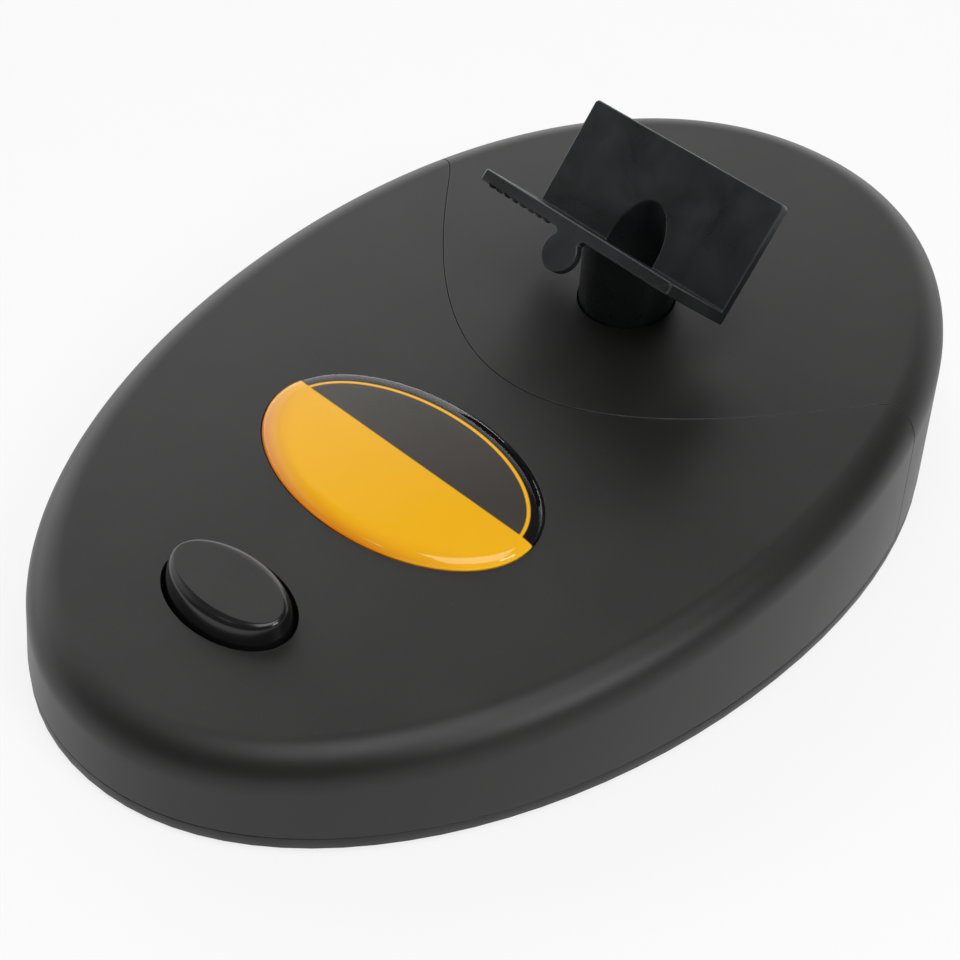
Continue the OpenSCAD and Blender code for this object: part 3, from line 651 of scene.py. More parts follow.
class Finishes:
    """Every finish on the shaker."""

    # the cover's light edge colour paints the pale highlight line along the seam
    cover = MouldedPlastic("cover_black_satin", (0.0054, 0.0053, 0.0049), roughness=(0.40, 0.46),
                           grain_scale=2600.0, grain_depth=0.000012, patch_scale=22.0, wear_and_highlight=0.5,
                           wear_and_highlight_radius=0.0004, wear_and_highlight_colour=(0.11, 0.11, 0.11), dust=0.03)
    base = MouldedPlastic("base_black_satin", (0.011, 0.011, 0.011), roughness=(0.42, 0.52),
                          grain_scale=2200.0, grain_depth=0.00002, wear_and_highlight=0.3, dust=0.02)
    cradle = MouldedPlastic("cradle_black_sheen", (0.0095, 0.0105, 0.0107), roughness=(0.22, 0.42), level=0.4,
                            grain_scale=1400.0, grain_depth=0.00001, patch_scale=95.0,
                            patch_colour=(0.0135, 0.0175, 0.0185), wear_and_highlight=0.8, wear_and_highlight_radius=0.0004,
                            wear_and_highlight_colour=(0.15, 0.155, 0.16), dust=0.035)
    button_side = MouldedPlastic("button_black_gloss", (0.0068, 0.0068, 0.0075), roughness=(0.13, 0.2),
                                 grain_scale=1200.0, grain_depth=0.000004, patch_scale=80.0, wear_and_highlight=0.25,
                                 wear_and_highlight_radius=0.0003, dust=0.01)
    # the top's light edge colour paints the thin light line along its far edge
    button_top = MouldedPlastic("button_black_worn", (0.0105, 0.0103, 0.0098), roughness=(0.36, 0.44),
                                grain_scale=2600.0, grain_depth=0.00001, patch_scale=110.0, wear_and_highlight=0.45,
                                wear_and_highlight_radius=0.0003, wear_and_highlight_colour=(0.14, 0.14, 0.14), dust=0.03)
    foot = MouldedPlastic("foot_rubber_grey", (0.022, 0.022, 0.022), roughness=(0.75, 0.9), level=0.3,
                          grain_scale=1500.0, grain_depth=0.00005, patch_scale=150.0, wear_and_highlight=0.5,
                          wear_and_highlight_colour=(0.07, 0.07, 0.07), dust=0.1)
    nylon = MouldedPlastic("nylon_natural", (0.66, 0.64, 0.57), roughness=(0.35, 0.48), grain_scale=1800.0,
                           patch_scale=140.0, patch_colour=(0.60, 0.57, 0.49), wear_and_highlight=0.3,
                           wear_and_highlight_colour=(0.75, 0.73, 0.68), dust=0.06, see_through=0.15)
    switch = MouldedPlastic("switch_dark", (0.03, 0.033, 0.038), roughness=(0.3, 0.42), grain_scale=2000.0,
                            patch_scale=160.0, wear_and_highlight=0.3, dust=0.05)
    lead_red = MouldedPlastic("lead_red_sleeve", (0.46, 0.022, 0.016), roughness=(0.3, 0.42),
                              grain_scale=1800.0, patch_scale=200.0, wear_and_highlight=0.0, dust=0.06)
    lead_black = MouldedPlastic("lead_black_sleeve", (0.012, 0.012, 0.012), roughness=(0.3, 0.42),
                                grain_scale=1800.0, patch_scale=200.0, wear_and_highlight=0.0, dust=0.06)
    steel = DrawnMetal("steel_drawn", (0.55, 0.56, 0.58), (0.40, 0.40, 0.40))
    can = DrawnMetal("can_plated", (0.62, 0.63, 0.65), (0.50, 0.49, 0.46), roughness=(0.24, 0.4),
                     lines=(5000.0, 140.0, 5000.0))
    spring = DrawnMetal("spring_plated", (0.60, 0.61, 0.63), (0.42, 0.42, 0.42), roughness=(0.18, 0.32))
    screw = DrawnMetal("screw_zinc", (0.58, 0.58, 0.56), (0.44, 0.42, 0.36), roughness=(0.25, 0.42),
                       lines=(5000.0, 5000.0, 5000.0))
    bronze = DrawnMetal("bronze_sintered", (0.52, 0.33, 0.14), (0.33, 0.20, 0.09), roughness=(0.34, 0.5),
                        lines=(3500.0, 3500.0, 3500.0), line_depth=0.00002)
    copper = DrawnMetal("copper_bar", (0.78, 0.37, 0.19), (0.45, 0.20, 0.11), roughness=(0.22, 0.4))
    winding = WoundWire("copper_winding", (0.62, 0.25, 0.08))
    ferrite = SpeckledCeramic("ferrite_pressed", (0.045, 0.042, 0.040))
    cell = CellJacket("cell_jacket", (0.05, 0.20, 0.09), (0.55, 0.50, 0.36), half_length=24.75 * MM)
    resin = ClearResin("resin_clear")
    label = BadgePrint("badge_print", (0.0, BADGE_Y), BADGE_HALF, (-0.0298, 2.6 * MM))


# ---- Mesh work ----


def settle(piece: Piece) -> None:
    """Applies a piece's modifiers to its mesh."""
    graph = bpy.context.evaluated_depsgraph_get()
    graph.update()
    mesh = bpy.data.meshes.new_from_object(piece.evaluated_get(graph))
    old = piece.data
    piece.modifiers.clear()
    piece.data = mesh
    bpy.data.meshes.remove(old)


def loose_piece(name: str, bm: Skin) -> Piece:
    """Turns a bmesh into an object in the scene, and frees it.

    Args:
        name: The object's name.
        bm: The mesh, in place in the part's frame.

    Returns:
        The new object, at the origin.
    """
    mesh = bpy.data.meshes.new(name)
    bm.to_mesh(mesh)
    bm.free()
    piece = bpy.data.objects.new(name, mesh)
    bpy.context.scene.collection.objects.link(piece)
    return piece


def cut(piece: Piece, tool: Piece, how: Cut = Cut.AWAY) -> None:
    """Cuts a piece with another solid, and removes that solid.

    Args:
        piece: What is cut.
        tool: The solid that cuts.
        how: Whether the tool's space goes or stays.
    """
    modifier = piece.modifiers.new("cut", "BOOLEAN")
    modifier.operation = how.value
    modifier.solver = "EXACT"
    modifier.object = tool
    settle(piece)
    discard(tool)


def discard(piece: Piece) -> None:
    """Removes a piece and its mesh."""
    mesh = piece.data
    bpy.data.objects.remove(piece)
    bpy.data.meshes.remove(mesh)


def loft(rows: Sequence[Sequence[Point]], ends: bool = True) -> Skin:
    """Extrudes a ring of points through a series of rings.

    Args:
        rows: The rings, each with the same number of points.
        ends: Whether the first and last ring are closed by a face.

    Returns:
        The new mesh, with its faces outwards.
    """
    bm = bmesh.new()
    station = bm.verts.layers.int.new("station")
    made = bmesh.ops.create_circle(bm, cap_ends=False, segments=len(rows[0]), radius=1.0)
    for i, vert in enumerate(made["verts"]):
        vert[station] = i
        vert.co = rows[0][i]
    edges = list(bm.edges)
    if ends:
        bmesh.ops.edgeloop_fill(bm, edges=edges)
    for row in rows[1:]:
        grown = bmesh.ops.extrude_edge_only(bm, edges=edges)["geom"]
        verts = {g for g in grown if isinstance(g, bmesh.types.BMVert)}
        edges = [g for g in grown if isinstance(g, bmesh.types.BMEdge) and set(g.verts) <= verts]
        for vert in verts:
            vert.co = row[vert[station]]
    if ends:
        bmesh.ops.edgeloop_fill(bm, edges=edges)
    bmesh.ops.recalc_face_normals(bm, faces=bm.faces)
    return bm


def lathe(profile: Section, centre: Point, closed: bool = False, steps: int = 48) -> Skin:
    """Spins a profile of radius and height round an upright axis.

    Args:
        profile: Points of radius and height above the centre.
        centre: A point of the axis.
        closed: Whether the profile is a ring that doesn't touch the axis.
        steps: The number of faces round.

    Returns:
        The new mesh, with its faces outwards.
    """
    bm = bmesh.new()
    verts = [bm.verts.new((centre[0] + r, centre[1], centre[2] + z)) for r, z in profile]
    pairs = list(zip(verts, verts[1:])) + ([(verts[-1], verts[0])] if closed else [])
    edges = [bm.edges.new(pair) for pair in pairs]
    bmesh.ops.spin(bm, geom=verts + edges, cent=centre, axis=(0, 0, 1), angle=math.tau, steps=steps,
                   use_merge=True, use_duplicate=False)
    bmesh.ops.remove_doubles(bm, verts=bm.verts, dist=1e-6)
    bmesh.ops.recalc_face_normals(bm, faces=bm.faces)
    return bm


def add_mesh(into: Skin, other: Skin) -> None:
    """Copies one mesh into another, and frees the copied one."""
    mesh = bpy.data.meshes.new("carrier")
    other.to_mesh(mesh)
    other.free()
    into.from_mesh(mesh)
    bpy.data.meshes.remove(mesh)


def prism(outline: Section, low: float, high: float) -> Skin:
    """An upright solid over a plan outline, from one height to another."""
    return loft([[(x, y, low) for x, y in outline], [(x, y, high) for x, y in outline]])


def widen(half: Pair, by: float) -> Pair:
    """The half width and half depth of an oval, both made longer by the same amount."""
    return half[0] + by, half[1] + by


def oval(half: Pair, steps: int, middle_y: float) -> list[Pair]:
    """Points of an oval on the middle line of the part.

    Args:
        half: Its half width and half depth.
        steps: The number of points.
        middle_y: The place of its middle along Y.

    Returns:
        The points, anticlockwise from the right.
    """
    turns = (math.tau * i / steps for i in range(steps))
    return [(half[0] * math.cos(t), half[1] * math.sin(t) + middle_y) for t in turns]


def closed_wall(rings: Sequence[Sequence[Point]]) -> Skin:
    """A wall that closes on itself round an opening.

    Args:
        rings: The rings at the corners of its section, in order.

    Returns:
        The new mesh, with its faces outwards.
    """
    bm = loft([*rings, rings[0]], ends=False)
    bmesh.ops.remove_doubles(bm, verts=bm.verts, dist=SAME_POINT)
    bmesh.ops.recalc_face_normals(bm, faces=bm.faces)
    return bm


def shade_smooth(piece: Piece, sharp: Optional[float] = None) -> None:
    """Shades a piece smooth.

    Args:
        piece: The piece.
        sharp: Edges sharper than this, in degrees, stay sharp. None keeps none.
    """
    for polygon in piece.data.polygons:
        polygon.use_smooth = True
    if sharp is not None:
        piece.data.set_sharp_from_angle(angle=math.radians(sharp))


def tidy_mesh(piece: Piece, near: float) -> None:
    """Merges points closer than near, and drops what has no area.

    Args:
        piece: The piece.
        near: The distance in metres.
    """
    bm = bmesh.new()
    bm.from_mesh(piece.data)
    bmesh.ops.remove_doubles(bm, verts=bm.verts, dist=near)
    bmesh.ops.dissolve_degenerate(bm, edges=bm.edges, dist=near)
    bm.to_mesh(piece.data)
    bm.free()


def ease_edges(piece: Piece, width: float, segments: int = 3, angle: float = 32.0) -> None:
    """Rounds a piece's sharp edges and shades it smooth.

    Args:
        piece: The piece.
        width: The width of the rounding in metres.
        segments: The number of faces across it.
        angle: Edges sharper than this, in degrees, are rounded.
    """
    shade_smooth(piece)
    modifier = piece.modifiers.new("eased_edges", "BEVEL")
    modifier.width = width
    modifier.segments = segments
    modifier.limit_method = "ANGLE"
    modifier.angle_limit = math.radians(angle)
    modifier.use_clamp_overlap = False
    modifier.harden_normals = True
    settle(piece)


def level_faces(piece: Piece, area: float) -> None:
    """Shades the broad flat faces of a piece as flat, up to where their rounded edges start.

    Args:
        piece: The piece.
        area: A face with more than this area, in square metres, is a broad one.
    """
    mesh = piece.data
    normals = [Vector(corner.vector) for corner in mesh.corner_normals]
    broad: dict[int, list[Vector]] = {}
    for polygon in mesh.polygons:
        if polygon.area > area:
            for loop, vertex in zip(polygon.loop_indices, polygon.vertices):
                normals[loop] = polygon.normal.copy()
                broad.setdefault(vertex, []).append(polygon.normal.copy())
    for polygon in mesh.polygons:
        if polygon.area > area:
            continue
        for loop, vertex in zip(polygon.loop_indices, polygon.vertices):
            nearest = max(broad.get(vertex, ()), key=polygon.normal.dot, default=None)
            if nearest is not None and nearest.dot(polygon.normal) > NEARLY_LEVEL:
                normals[loop] = nearest
    mesh.normals_split_custom_set([tuple(normal) for normal in normals])


def finish_piece(piece: Piece, finish: Finish, slot: str, body: Body, *nodes: str) -> Piece:
    """Dresses a piece, hangs it on the body that it rides on and hides the nodes that it stands for.

    Args:
        piece: The piece.
        finish: How it looks.
        slot: Its material slot in the record. Not used.
        body: The body that it rides on.
        nodes: The nodes of the part that it stands for.

    Returns:
        The piece.
    """
    piece.data.materials.clear()
    piece.data.materials.append(finish.material())
    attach(piece, body.value)
    if nodes:
        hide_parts(*nodes)
    LOG.info("%s: %d faces on %s", piece.name, len(piece.data.polygons), body.value)
    return piece


def moulding_from(node: str, name: str, near: float = 2e-6) -> Piece:
    """Copies a node's mesh as one welded skin with clean flat faces.

    Args:
        node: The node of the part.
        name: The new piece's name.
        near: Points closer than this are merged, in metres.

    Returns:
        The new piece.
    """
    bm = bmesh.new()
    bm.from_mesh(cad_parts[node].data)
    bmesh.ops.remove_doubles(bm, verts=bm.verts, dist=near)
    for _ in range(SLIVER_PASSES):
        bmesh.ops.dissolve_degenerate(bm, edges=bm.edges, dist=near)
    bmesh.ops.dissolve_limit(bm, angle_limit=FLAT_ANGLE, use_dissolve_boundaries=False,
                             verts=bm.verts, edges=bm.edges)
    return loose_piece(name, bm)


def dress_copy(node: str, name: str, finish: Finish, slot: str, body: Body, edge: float, segments: int,
               broad_area: Optional[float] = None) -> Piece:
    """Dresses a copy of a node, with rounded edges.

    Args:
        node: The node of the part.
        name: The new piece's name.
        finish: How it looks.
        slot: Its material slot in the record.
        body: The body that it rides on.
        edge: The width of its rounded edges in metres.
        segments: The number of faces across them.
        broad_area: Faces with more than this area, in square metres, are shaded as flat. None leaves them.

    Returns:
        The new piece.
    """
    piece = moulding_from(node, name)
    ease_edges(piece, edge, segments)
    if broad_area is not None:
        level_faces(piece, broad_area)
    return finish_piece(piece, finish, slot, body, node)


# ---- The housing ----


@dataclass
class HousingForm:
    """The sizes and the outer form of the housing."""

    length: float = 200 * MM
    width: float = 134.6 * MM
    top_z: float = 28.3 * MM
    slope: float = 0.104
    power: float = 2.065
    fullness: float = 0.048
    rim: float = 6.5 * MM
    rim_least: float = 0.5 * MM
    crown_step: float = 0.4 * MM
    draft: float = 0.8 * MM
    wall: float = 2.2 * MM
    cover_z: float = 3.6 * MM
    seam_front: float = 1.5 * MM
    seam_wall: float = 43.5 * MM
    seam_gap: float = 0.12 * MM
    seam_reach: float = 130 * MM
    seam_spread: float = 2.03
    seam_blend: float = 1.5 * MM
    tool_half: float = 80 * MM
    tool_reach: float = 130 * MM
    tool_z: Pair = (-10 * MM, 80 * MM)
    round_steps: int = 288
    rim_steps: int = 12

    def plan_point(self, turn: float, inset: float = 0.0) -> Pair:
        """A point of the plan outline.

        Args:
            turn: The angle round the outline.
            inset: How far the outline is drawn in.

        Returns:
            The point's X and Y.
        """
        def at(t: float) -> Vector:
            """The outline before it is drawn in."""
            half_width = self.width / 2 / (1 + self.fullness ** 2 / 2)
            s, c = math.sin(t), math.cos(t)
            along = math.copysign(abs(s) ** (2 / self.power), s)
            across = math.copysign(abs(c) ** (2 / self.power), c)
            return Vector((half_width * across * (1 + self.fullness * along), self.length / 2 * along))

        if inset == 0:
            return tuple(at(turn))
        step = math.radians(0.05)
        run = at(turn + step) - at(turn - step)
        inward = Vector((-run.y, run.x)).normalized()
        return tuple(at(turn) + inset * inward)

    def top_at(self, y: float) -> float:
        """Height of the sloping top over y."""
        return self.top_z + self.slope * y

    def ring(self, inset: float, drop: Optional[float], floor: float = 0.0) -> list[Point]:
        """One ring of the form.

        Args:
            inset: How far the outline is drawn in.
            drop: How far the ring lies below the sloping top, or None for a level ring.
            floor: The height of a level ring.

        Returns:
            The ring's points.
        """
        points = (self.plan_point(math.tau * i / self.round_steps, inset) for i in range(self.round_steps))
        return [(x, y, floor if drop is None else self.top_at(y) - drop) for x, y in points]

    def solid(self, name: str, inset: float, floor: float) -> Piece:
        """The housing's form as a solid, drawn in by inset at the sides and the top.

        Args:
            name: The piece's name.
            inset: How far it is drawn in.
            floor: The height of its underside.

        Returns:
            The new piece.
        """
        rim = max(self.rim - inset, self.rim_least)
        rows = [self.ring(inset, None, floor)]
        for i in range(self.rim_steps + 1):
            a = math.pi / 2 * i / self.rim_steps
            rows.append(self.ring(inset + self.draft + rim * (1 - math.cos(a)),
                                  inset + rim - rim * math.sin(a)))
        rows.append(self.ring(inset + self.draft + rim + self.crown_step, inset))
        return loose_piece(name, loft(rows))

    def seam_y(self, x: float) -> float:
        """Where the seam between the covers runs at x."""
        curve = self.seam_front + math.hypot(self.seam_reach, self.seam_spread * x) - self.seam_reach
        blend = self.seam_blend
        return -blend * math.log(math.exp(-curve / blend) + math.exp(-self.seam_wall / blend))

    def seam_side(self, name: str, rear: bool, shift: float) -> Piece:
        """A tool that holds everything behind the seam, or in front of it.

        Args:
            name: The tool's name.
            rear: Whether it holds what is behind the seam.
            shift: How far its edge lies behind the seam.

        Returns:
            The tool.
        """
        far = self.tool_reach if rear else -self.tool_reach
        steps = round(self.tool_half / MM)
        edge = [(i * MM, self.seam_y(i * MM) + shift) for i in range(-steps, steps + 1)]
        corners = [(self.tool_half, far), (-self.tool_half, far)]
        return loose_piece(name, prism(edge + corners, *self.tool_z))


@dataclass
class Covers:
    """The front and the rear cover, hollow, with their seam lip and screw bosses."""

    form: HousingForm
    button_half: Pair = (14.3 * MM, 8.8 * MM)
    guide_wall: float = 1.3 * MM
    guide_z: float = 15 * MM
    guide_depth: float = 1.6 * MM
    badge_half: Pair = (30.65 * MM, 18.25 * MM)
    badge_depth: float = 0.5 * MM
    post_y: float = 34.3 * MM
    post_hole: float = 9.5 * MM
    boss_top_r: float = 3.5 * MM
    pilot_r: float = 1.1 * MM
    boss_z: float = 5.45 * MM
    boss_depth: float = 1.5 * MM
    front_bosses: tuple = ((-30, -76), (30, -76), (-57, -4), (57, -4))
    rear_bosses: tuple = ((-48, 52), (48, 52), (0, 84))
    lip_gap: float = 0.25 * MM
    lip_inside: float = 1.3 * MM
    lip_foot: float = 3 * MM
    lip_ahead: float = 4 * MM
    lip_behind: float = 3.5 * MM
    tool_z: Pair = (10 * MM, 60 * MM)
    tool_over: float = 5 * MM
    tool_under: float = 2 * MM
    weld: float = 0.04 * MM
    edge: float = 0.14 * MM
    broad_area: float = 400 * MM * MM

    def build(self) -> None:
        """Builds both covers."""
        form = self.form
        rear = form.solid("rear_cover_shell", 0.0, form.cover_z)
        cut(rear, form.solid("cover_hollow", form.wall, form.cover_z - self.tool_under))
        front = rear.copy()
        front.data = rear.data.copy()
        bpy.context.scene.collection.objects.link(front)
        front.name = "front_cover_shell"
        cut(front, form.seam_side("front_side", False, -form.seam_gap / 2), Cut.KEEP)
        cut(rear, form.seam_side("rear_side", True, form.seam_gap / 2), Cut.KEEP)
        self.open_front(front)
        profile = [(self.post_hole, 0.0), (self.post_hole, self.tool_z[1])]
        hole = lathe(profile, (0.0, self.post_y, 0.0), steps=96)
        bmesh.ops.holes_fill(hole, edges=hole.edges)
        bmesh.ops.recalc_face_normals(hole, faces=hole.faces)
        cut(rear, loose_piece("post_hole", hole))
        for piece, node, bosses in ((front, "front_cover", self.front_bosses),
                                    (rear, "rear_cover", self.rear_bosses)):
            tidy_mesh(piece, self.weld)
            ease_edges(piece, self.edge)
            self.add_inside(piece, bosses, piece is front)
            level_faces(piece, self.broad_area)
            finish_piece(piece, Finishes.cover, "cover_black", Body.HOUSING, node)

    def open_front(self, front: Piece) -> None:
        """Cuts the button's well and the badge's seat."""
        well = oval(self.button_half, 144, BUTTON_Y)
        cut(front, loose_piece("button_well", prism(well, *self.tool_z)))
        seat = oval(self.badge_half, 192, BADGE_Y)
        rows = [[(x, y, self.form.top_at(y) + lift) for x, y in seat]
                for lift in (-self.badge_depth, self.tool_over)]
        cut(front, loose_piece("badge_seat", loft(rows)))

    def add_inside(self, piece: Piece, bosses: tuple, front: bool) -> None:
        """Adds the screw bosses, and on the front cover the button's guide and the seam lip.

        Args:
            piece: The cover.
            bosses: The places of its bosses, in millimetres.
            front: Whether it is the front cover.
        """
        bm = bmesh.new()
        bm.from_mesh(piece.data)
        for x, y in bosses:
            top = self.form.top_at(y * MM) - self.boss_depth
            sleeve = [(self.pilot_r, self.boss_z), (self.boss_top_r, self.boss_z), (self.boss_top_r, top),
                      (self.pilot_r, top)]
            add_mesh(bm, lathe(sleeve, (x * MM, y * MM, 0.0), closed=True, steps=32))
        if front:
            add_mesh(bm, self.button_guide())
            lip = self.seam_lip()
            bm.from_mesh(lip.data)
            discard(lip)
        bm.to_mesh(piece.data)
        bm.free()

    def button_guide(self) -> Skin:
        """The wall that hangs from the front cover round the button's well."""
        outer = oval(widen(self.button_half, self.guide_wall), 96, BUTTON_Y)
        inner = oval(self.button_half, 96, BUTTON_Y)
        low = [[(x, y, self.guide_z) for x, y in ring] for ring in (inner, outer)]
        high = [[(x, y, self.form.top_at(y) - self.guide_depth) for x, y in ring] for ring in (outer, inner)]
        return closed_wall(low + high)

    def seam_lip(self) -> Piece:
        """The band under the seam that closes it from inside."""
        form = self.form
        lip = form.solid("seam_lip", form.wall + self.lip_gap, form.cover_z + self.lip_foot)
        cut(lip, form.solid("lip_hollow", form.wall + self.lip_inside, form.cover_z))
        cut(lip, form.seam_side("lip_front", True, -self.lip_ahead), Cut.KEEP)
        cut(lip, form.seam_side("lip_rear", True, self.lip_behind))
        return lip


@dataclass
class Underside:
    """The base plate with its ribs and battery bay, the battery door and the feet."""

    edge: float = 0.25 * MM
    door_edge: float = 0.15 * MM
    foot_edge: float = 0.2 * MM
    broad_area: float = 60 * MM * MM

    def build(self) -> None:
        """Rounds copies of the part's own solids."""
        for node, name, body, edge in (("base_plate", "base_tray", Body.HOUSING, self.edge),
                                       ("battery_door", "battery_lid", Body.DOOR, self.door_edge)):
            dress_copy(node, name, Finishes.base, "base_black", body, edge, 2, self.broad_area)
        for corner in ("front_left", "front_right", "rear_left", "rear_right"):
            dress_copy(f"foot_{corner}", f"rubber_foot_{corner}", Finishes.foot, "foot_rubber", Body.HOUSING,
                       self.foot_edge, 3)


# ---- Badge, button and cradle ----


@dataclass
class Badge:
    """The oval badge: a printed label under a poured clear dome."""

    form: HousingForm
    label_z: Pair = (-0.45 * MM, -0.05 * MM)
    label_edge: float = 0.04 * MM
    label_round: float = 0.02 * MM
    dome_h: float = 1.5 * MM
    dome_edge: float = 3.2 * MM
    dome_skirt: float = 0.12 * MM
    overhang: float = 0.05 * MM
    crown: float = 0.006
    crown_insets: tuple[float, ...] = (5.5 * MM, 9 * MM, 13 * MM, 16.5 * MM)
    sharp: float = 50.0
    bend_steps: int = 14
    steps: int = 192

    def ring(self, inset: float, lift: float) -> list[Point]:
        """A ring of the badge on the sloping top, drawn in by inset and lifted."""
        outline = oval(widen(BADGE_HALF, -inset), self.steps, BADGE_Y)
        return [(x, y, self.form.top_at(y) + lift) for x, y in outline]

    def build(self) -> None:
        """Builds the label and the dome."""
        low, high = self.label_z
        rows = [self.ring(0.0, low), self.ring(0.0, high - self.label_edge), self.ring(self.label_edge, high)]
        label = loose_piece("badge_print_sheet", loft(rows))
        ease_edges(label, self.label_round, 1)
        finish_piece(label, Finishes.label, "label_print", Body.HOUSING, "badge_label")
        rows = [self.ring(-self.overhang, high - self.dome_skirt), self.ring(-self.overhang, 0.0)]
        for i in range(1, self.bend_steps + 1):
            a = math.pi / 2 * i / self.bend_steps
            rows.append(self.ring(self.dome_edge * (1 - math.cos(a)), self.dome_h * math.sin(a)))
        for inset in self.crown_insets:
            rows.append(self.ring(inset, self.dome_h + self.crown * (inset - self.dome_edge)))
        dome = loose_piece("badge_resin_dome", loft(rows))
        shade_smooth(dome, self.sharp)
        finish_piece(dome, Finishes.resin, "clear_resin", Body.HOUSING, "badge_dome")


@dataclass
class PushButton:
    """The oval push button with its flange and stem."""

    form: HousingForm
    half: Pair = (13.5 * MM, 8.0 * MM)
    top_half: Pair = (12.1 * MM, 5.3 * MM)
    rise: float = 3.8 * MM
    edge: float = 1.3 * MM
    foot_rise: float = 0.9 * MM
    side: float = 0.3
    crown_share: float = 1.06
    wall: float = 1.8 * MM
    flange: float = 2.1 * MM
    flange_h: float = 1.25 * MM
    skirt_z: float = 14.95 * MM
    hollow_z: Pair = (10 * MM, 19.5 * MM)
    stem: Pair = (2.6 * MM, 10.5 * MM)
    stem_sunk: float = 0.3 * MM
    sharp: float = 40.0
    worn_normal: float = 0.985
    worn_near: float = 0.25 * MM
    bend_steps: int = 12
    steps: int = 144

    def ring(self, share: float, z: float, sloped: bool) -> list[Point]:
        """A ring of the cap.

        Args:
            share: 0 at the foot's outline and 1 at the flat top's.
            z: Its height, above the cover if sloped, otherwise above the table.
            sloped: Whether it lies parallel to the cover.

        Returns:
            The ring's points.
        """
        half = tuple(a + share * (b - a) for a, b in zip(self.half, self.top_half))
        outline = oval(half, self.steps, BUTTON_Y)
        return [(x, y, z + (self.form.top_at(y) if sloped else 0.0)) for x, y in outline]

    def build(self) -> None:
        """Builds the cap as one shell with the flange and the stem, and gives its top a worn look with a
        painted light line along its edge.
        """
        hollow = oval(widen(self.half, -self.wall), 96, BUTTON_Y)
        cap = loose_piece("push_button_cap", loft(self.cap_rings()))
        cut(cap, loose_piece("cap_hollow", prism(hollow, *self.hollow_z)))
        shade_smooth(cap, self.sharp)
        bm = bmesh.new()
        bm.from_mesh(cap.data)
        wide = oval(widen(self.half, self.flange), 96, BUTTON_Y)
        low, high = self.skirt_z - self.flange_h, self.skirt_z
        corners = ((hollow, low), (wide, low), (wide, high), (hollow, high))
        add_mesh(bm, closed_wall([[(x, y, z) for x, y in outline] for outline, z in corners]))
        radius, foot = self.stem
        head = self.hollow_z[1] + self.stem_sunk
        profile = [(0.0, foot), (radius, foot), (radius, head), (0.0, head)]
        add_mesh(bm, lathe(profile, (0.0, BUTTON_Y, 0.0), steps=40))
        bm.to_mesh(cap.data)
        bm.free()
        finish_piece(cap, Finishes.button_side, "button_black", Body.BUTTON, "push_button")
        cap.data.materials.append(Finishes.button_top.material())
        for polygon in cap.data.polygons:
            top = self.form.top_at(polygon.center.y) + self.rise
            if polygon.normal.z > self.worn_normal and abs(polygon.center.z - top) < self.worn_near:
                polygon.material_index = 1

    def cap_rings(self) -> list[list[Point]]:
        """The rings of the cap: a skirt, a leaning side, a rounded edge and the flat top."""
        rows = [self.ring(0.0, self.skirt_z, False), self.ring(0.0, self.foot_rise, True)]
        reach = 1 - self.side
        climb = reach * (self.rise - self.foot_rise - self.edge)
        start = math.acos(reach * self.edge / math.hypot(self.edge, climb)) - math.atan2(climb, self.edge)
        for i in range(self.bend_steps + 1):
            a = start + (math.pi / 2 - start) * i / self.bend_steps
            rows.append(self.ring(1 - reach * math.cos(a), self.rise - self.edge * (1 - math.sin(a)), True))
        rows.append(self.ring(self.crown_share, self.rise, True))
        return rows


@dataclass
class BottleCradle:
    """The V-shaped cradle on its post."""

    edge: float = 0.3 * MM
    broad_area: float = 30 * MM * MM

    def build(self) -> None:
        """Rounds a copy of the part's own solid."""
        dress_copy("cradle", "bottle_cradle", Finishes.cradle, "cradle_black", Body.CRADLE, self.edge, 3,
                   self.broad_area)


# ---- The inside ----


@dataclass
class Workings:
    """The pieces inside the housing. All but the button's spring keep their solids and only get a finish."""

    spring_foot: Point = (0.0, BUTTON_Y, 8.6 * MM)
    spring_keep: float = 0.833
    finishes: tuple[tuple[Finish, tuple[str, ...]], ...] = (
        (Finishes.switch, ("switch_body", "motor_clamp", "bearing_bridge")),
        (Finishes.nylon, ("switch_plunger", "motor_end_bell", "eccentric_hub", "rocker_arm")),
        (Finishes.bronze, ("switch_tags", "motor_terminals", "motor_front_bush", "motor_rear_bush",
                           "thrust_washer", "lower_bush", "upper_bush")),
        (Finishes.cell, ("battery_cell_front", "battery_cell_rear")),
        (Finishes.spring, ("bridge_contact", "plus_contact", "minus_contact")),
        (Finishes.can, ("motor_can",)),
        (Finishes.ferrite, ("motor_magnets",)),
        (Finishes.copper, ("motor_brushes", "commutator")),
        (Finishes.steel, ("motor_shaft", "armature_core", "crank_pin", "rocker_pin", "spindle")),
        (Finishes.winding, ("armature_windings",)),
        (Finishes.screw, ("clamp_screws", "bridge_screws", "cradle_screw", "cover_screws")),
        (Finishes.lead_red, ("lead_plus", "lead_switch")),
        (Finishes.lead_black, ("lead_minus",)),
    )

    def build(self) -> None:
        """Gives every node that stays its finish, and copies the spring."""
        for finish, nodes in self.finishes:
            for node in nodes:
                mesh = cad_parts[node].data
                mesh.materials.clear()
                mesh.materials.append(finish.material())
                LOG.info("%s keeps its solid, finished as %s", node, finish.name)
        self.coil_spring()

    def coil_spring(self) -> None:
        """Copies the button's spring as one welded skin on the housing."""
        spring = moulding_from("button_spring", "return_spring")
        finish_piece(spring, Finishes.spring, "spring_steel", Body.HOUSING, "button_spring")
        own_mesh(spring)


# ---- Studio ----


@dataclass(frozen=True)
class Lamp:
    """A soft rectangular lamp, with its width and height in metres and its power in watts."""

    name: str
    place: Point
    size: Pair
    power: float


